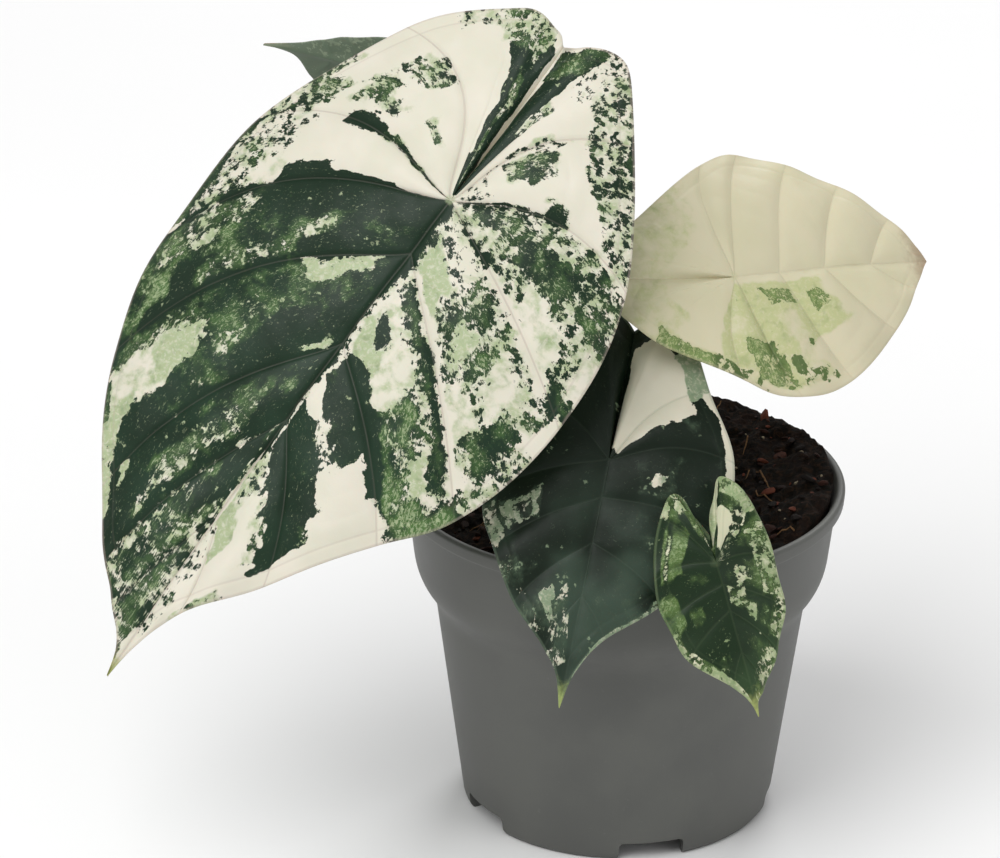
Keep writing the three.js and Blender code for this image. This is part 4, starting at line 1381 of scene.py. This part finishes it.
def make_lump(random, ball, grain):
    """Points and shade of a flat dark chip, or of a round pale grain, somewhere on the soil."""
    r = CHIP_R * math.sqrt(random.uniform(0.02, 1))
    angle = random.uniform(0, 2 * math.pi)
    if grain:
        size = random.uniform(0.35, 0.75)
        scale = np.array([1, random.uniform(0.7, 1), random.uniform(0.6, 0.9)])
    else:
        size = 0.5 + 2.1 * random.uniform() ** 3
        scale = np.array([1, random.uniform(0.35, 0.8), random.uniform(0.16, 0.42)])
    normals = random.normal(size=(CHIP_FACES, 3))
    normals /= np.linalg.norm(normals, axis=1, keepdims=True)
    limits = random.uniform(0.55, 0.85, CHIP_FACES)
    lump = ball * (1 + CHIP_ROUGHNESS * random.normal(size=(len(ball), 1)))
    for normal, limit in zip(normals, limits):
        lump = lump - np.maximum(lump @ normal - limit, 0)[:, None] * normal
    tilt = Matrix.Rotation(random.uniform(0, 2 * math.pi), 3, "Z")
    for axis in "XY":
        tilt = tilt @ Matrix.Rotation(random.normal() * CHIP_TILT, 3, axis)
    x, y = r * math.cos(angle), r * math.sin(angle)
    points = (lump * scale * size) @ np.array(tilt).T + (x, y, soil_height(x, y) + 0.25 * size)
    shade = 0.93 + 0.07 * random.uniform() if grain else 0.8 * random.uniform() ** 1.5
    return points, shade


def make_fibre(random):
    """The rings of points of a root that wanders over the soil and stops before its edge."""
    r = FIBRE_R * math.sqrt(random.uniform(0.03, 1))
    angle = random.uniform(0, 2 * math.pi)
    heading = random.uniform(0, 2 * math.pi)
    x, y = r * math.cos(angle), r * math.sin(angle)
    turn = random.normal() * 0.18
    steps = int(random.integers(7, 16))
    width = random.uniform(0.12, 0.3)
    lift = random.uniform(0.2, 1.2)
    points = []
    for i in range(steps):
        if math.hypot(x, y) > FIBRE_END_R:
            break
        z = soil_height(x, y) + FIBRE_CLEARANCE + lift * math.sin(math.pi * i / (steps - 1))
        thin = width * (0.35 + 0.65 * math.sin(math.pi * (i + 0.5) / steps))
        for j in range(FIBRE_SIDES):
            spin = 2 * math.pi * j / FIBRE_SIDES
            side, up = thin * math.cos(spin), thin * math.sin(spin)
            points.append((x - side * math.sin(heading), y + side * math.cos(heading), z + up))
        x += FIBRE_STEP * math.cos(heading)
        y += FIBRE_STEP * math.sin(heading)
        heading += turn + random.normal() * 0.12
    return np.array(points).reshape(-1, 3)


def fibre_faces(count, first):
    """Faces of a fibre with so many points, closed at both ends."""
    last = first + count - FIBRE_SIDES
    ends = [list(range(first, first + FIBRE_SIDES))[::-1], list(range(last, last + FIBRE_SIDES))]
    return [*ring_faces(count // FIBRE_SIDES, FIBRE_SIDES, first), *ends] if count else []


def make_litter(material):
    """Bark chips, pale grains and root fibres that lie on the soil."""
    random = np.random.default_rng(7)
    ball, triangles = unit_ball()
    clusters, faces, shades = [], [], []
    for k in range(CHIPS + GRAINS):
        points, shade = make_lump(random, ball, k >= CHIPS)
        faces += [[corner + k * len(ball) for corner in triangle] for triangle in triangles]
        clusters.append(points)
        shades += [shade] * len(points)
    for k in range(FIBRES):
        points = make_fibre(random)
        faces += fibre_faces(len(points), len(shades))
        clusters.append(points)
        shades += [FIBRE_SHADE] * len(points)
    piece = mesh_piece("soil_litter", np.concatenate(clusters), faces, material, smooth=False)
    add_values(piece, "shade", shades)
    belongs(piece, "soil")


def litter_material():
    m = Shader("bark")
    place = m.position_mm()
    grain = m.noise(m.scaled(place, (1, 1, 2.5)), 1 / 0.9, 6, 0.7, 0.4)
    shade = m.attribute("shade")
    colour = m.mix(m.step(shade, 0.0, 0.5), srgb(13, 8, 6), srgb(46, 23, 15))
    colour = m.mix(m.step(shade, 0.5, 0.8), colour, srgb(106, 54, 36))
    colour = m.mix(m.step(shade, 0.81, 0.84), colour, srgb(118, 88, 58))
    colour = m.mix(m.step(shade, 0.9, 0.94), colour, srgb(150, 138, 116))
    colour = m.mix(m.step(grain, 0.35, 0.7, 0.0, 0.45), colour, srgb(30, 20, 15))
    normal = m.bump(grain, 0.0005, 0.8)
    return m.finish(Base_Color=colour, Normal=normal, Roughness=0.85, Specular_IOR_Level=0.2)


FLOOR_HALF = 4000
# Name, place, what it is aimed at, diameter and watts.
LIGHTS = [
    ("key", (-0.9, -1.1, 2.0), (-0.03, 0, 0.12), 2.0, 42),
    ("fill", (1.6, -1.1, 0.9), (0, 0, 0.1), 1.2, 6),
    ("rim", (0.4, 1.5, 1.4), (0, 0, 0.15), 0.8, 12),
]
SKY_STRENGTH = 0.46


def floor_material():
    m = Shader("floor")
    tone = m.step(m.noise(m.position(), 3, 2), 0.3, 0.7)
    return m.finish(Base_Color=m.mix(tone, (0.86, 0.86, 0.86), (0.88, 0.88, 0.88)), Roughness=0.9)


def add_floor():
    corners = [(x * FLOOR_HALF, y * FLOOR_HALF, 0) for x, y in ((-1, -1), (1, -1), (1, 1), (-1, 1))]
    floor = mesh_piece("floor", corners, [[0, 1, 2, 3]], floor_material(), smooth=False)


def add_light(name, place, aim, size, watts):
    light = bpy.data.lights.new(name, "AREA")
    light.shape = "DISK"
    light.size = size
    light.energy = watts
    holder = bpy.data.objects.new(name, light)
    bpy.context.collection.objects.link(holder)
    holder.location = place
    holder.rotation_euler = (Vector(aim) - Vector(place)).to_track_quat("-Z", "Y").to_euler()


def add_lights():
    world = bpy.data.worlds.new("studio")
    world.use_nodes = True
    background = world.node_tree.nodes["Background"]
    background.inputs["Color"].default_value = (1, 1, 1, 1)
    background.inputs["Strength"].default_value = SKY_STRENGTH
    bpy.context.scene.world = world
    bpy.context.scene.view_settings.view_transform = "Standard"
    for light in LIGHTS:
        add_light(*light)


add_camera()
add_floor()
add_lights()
make_pot(pot_material())
make_soil(soil_material())
make_litter(litter_material())
stalk_skin = stalk_material()
make_crown(crown_material())
for number, (blade_name, leaf) in enumerate(BLADES.items()):
    make_blade(blade_name, leaf, leaf_material(blade_name, LOOKS[blade_name], number))
    make_stalk(blade_name, STALKS[blade_name], leaf, stalk_skin)
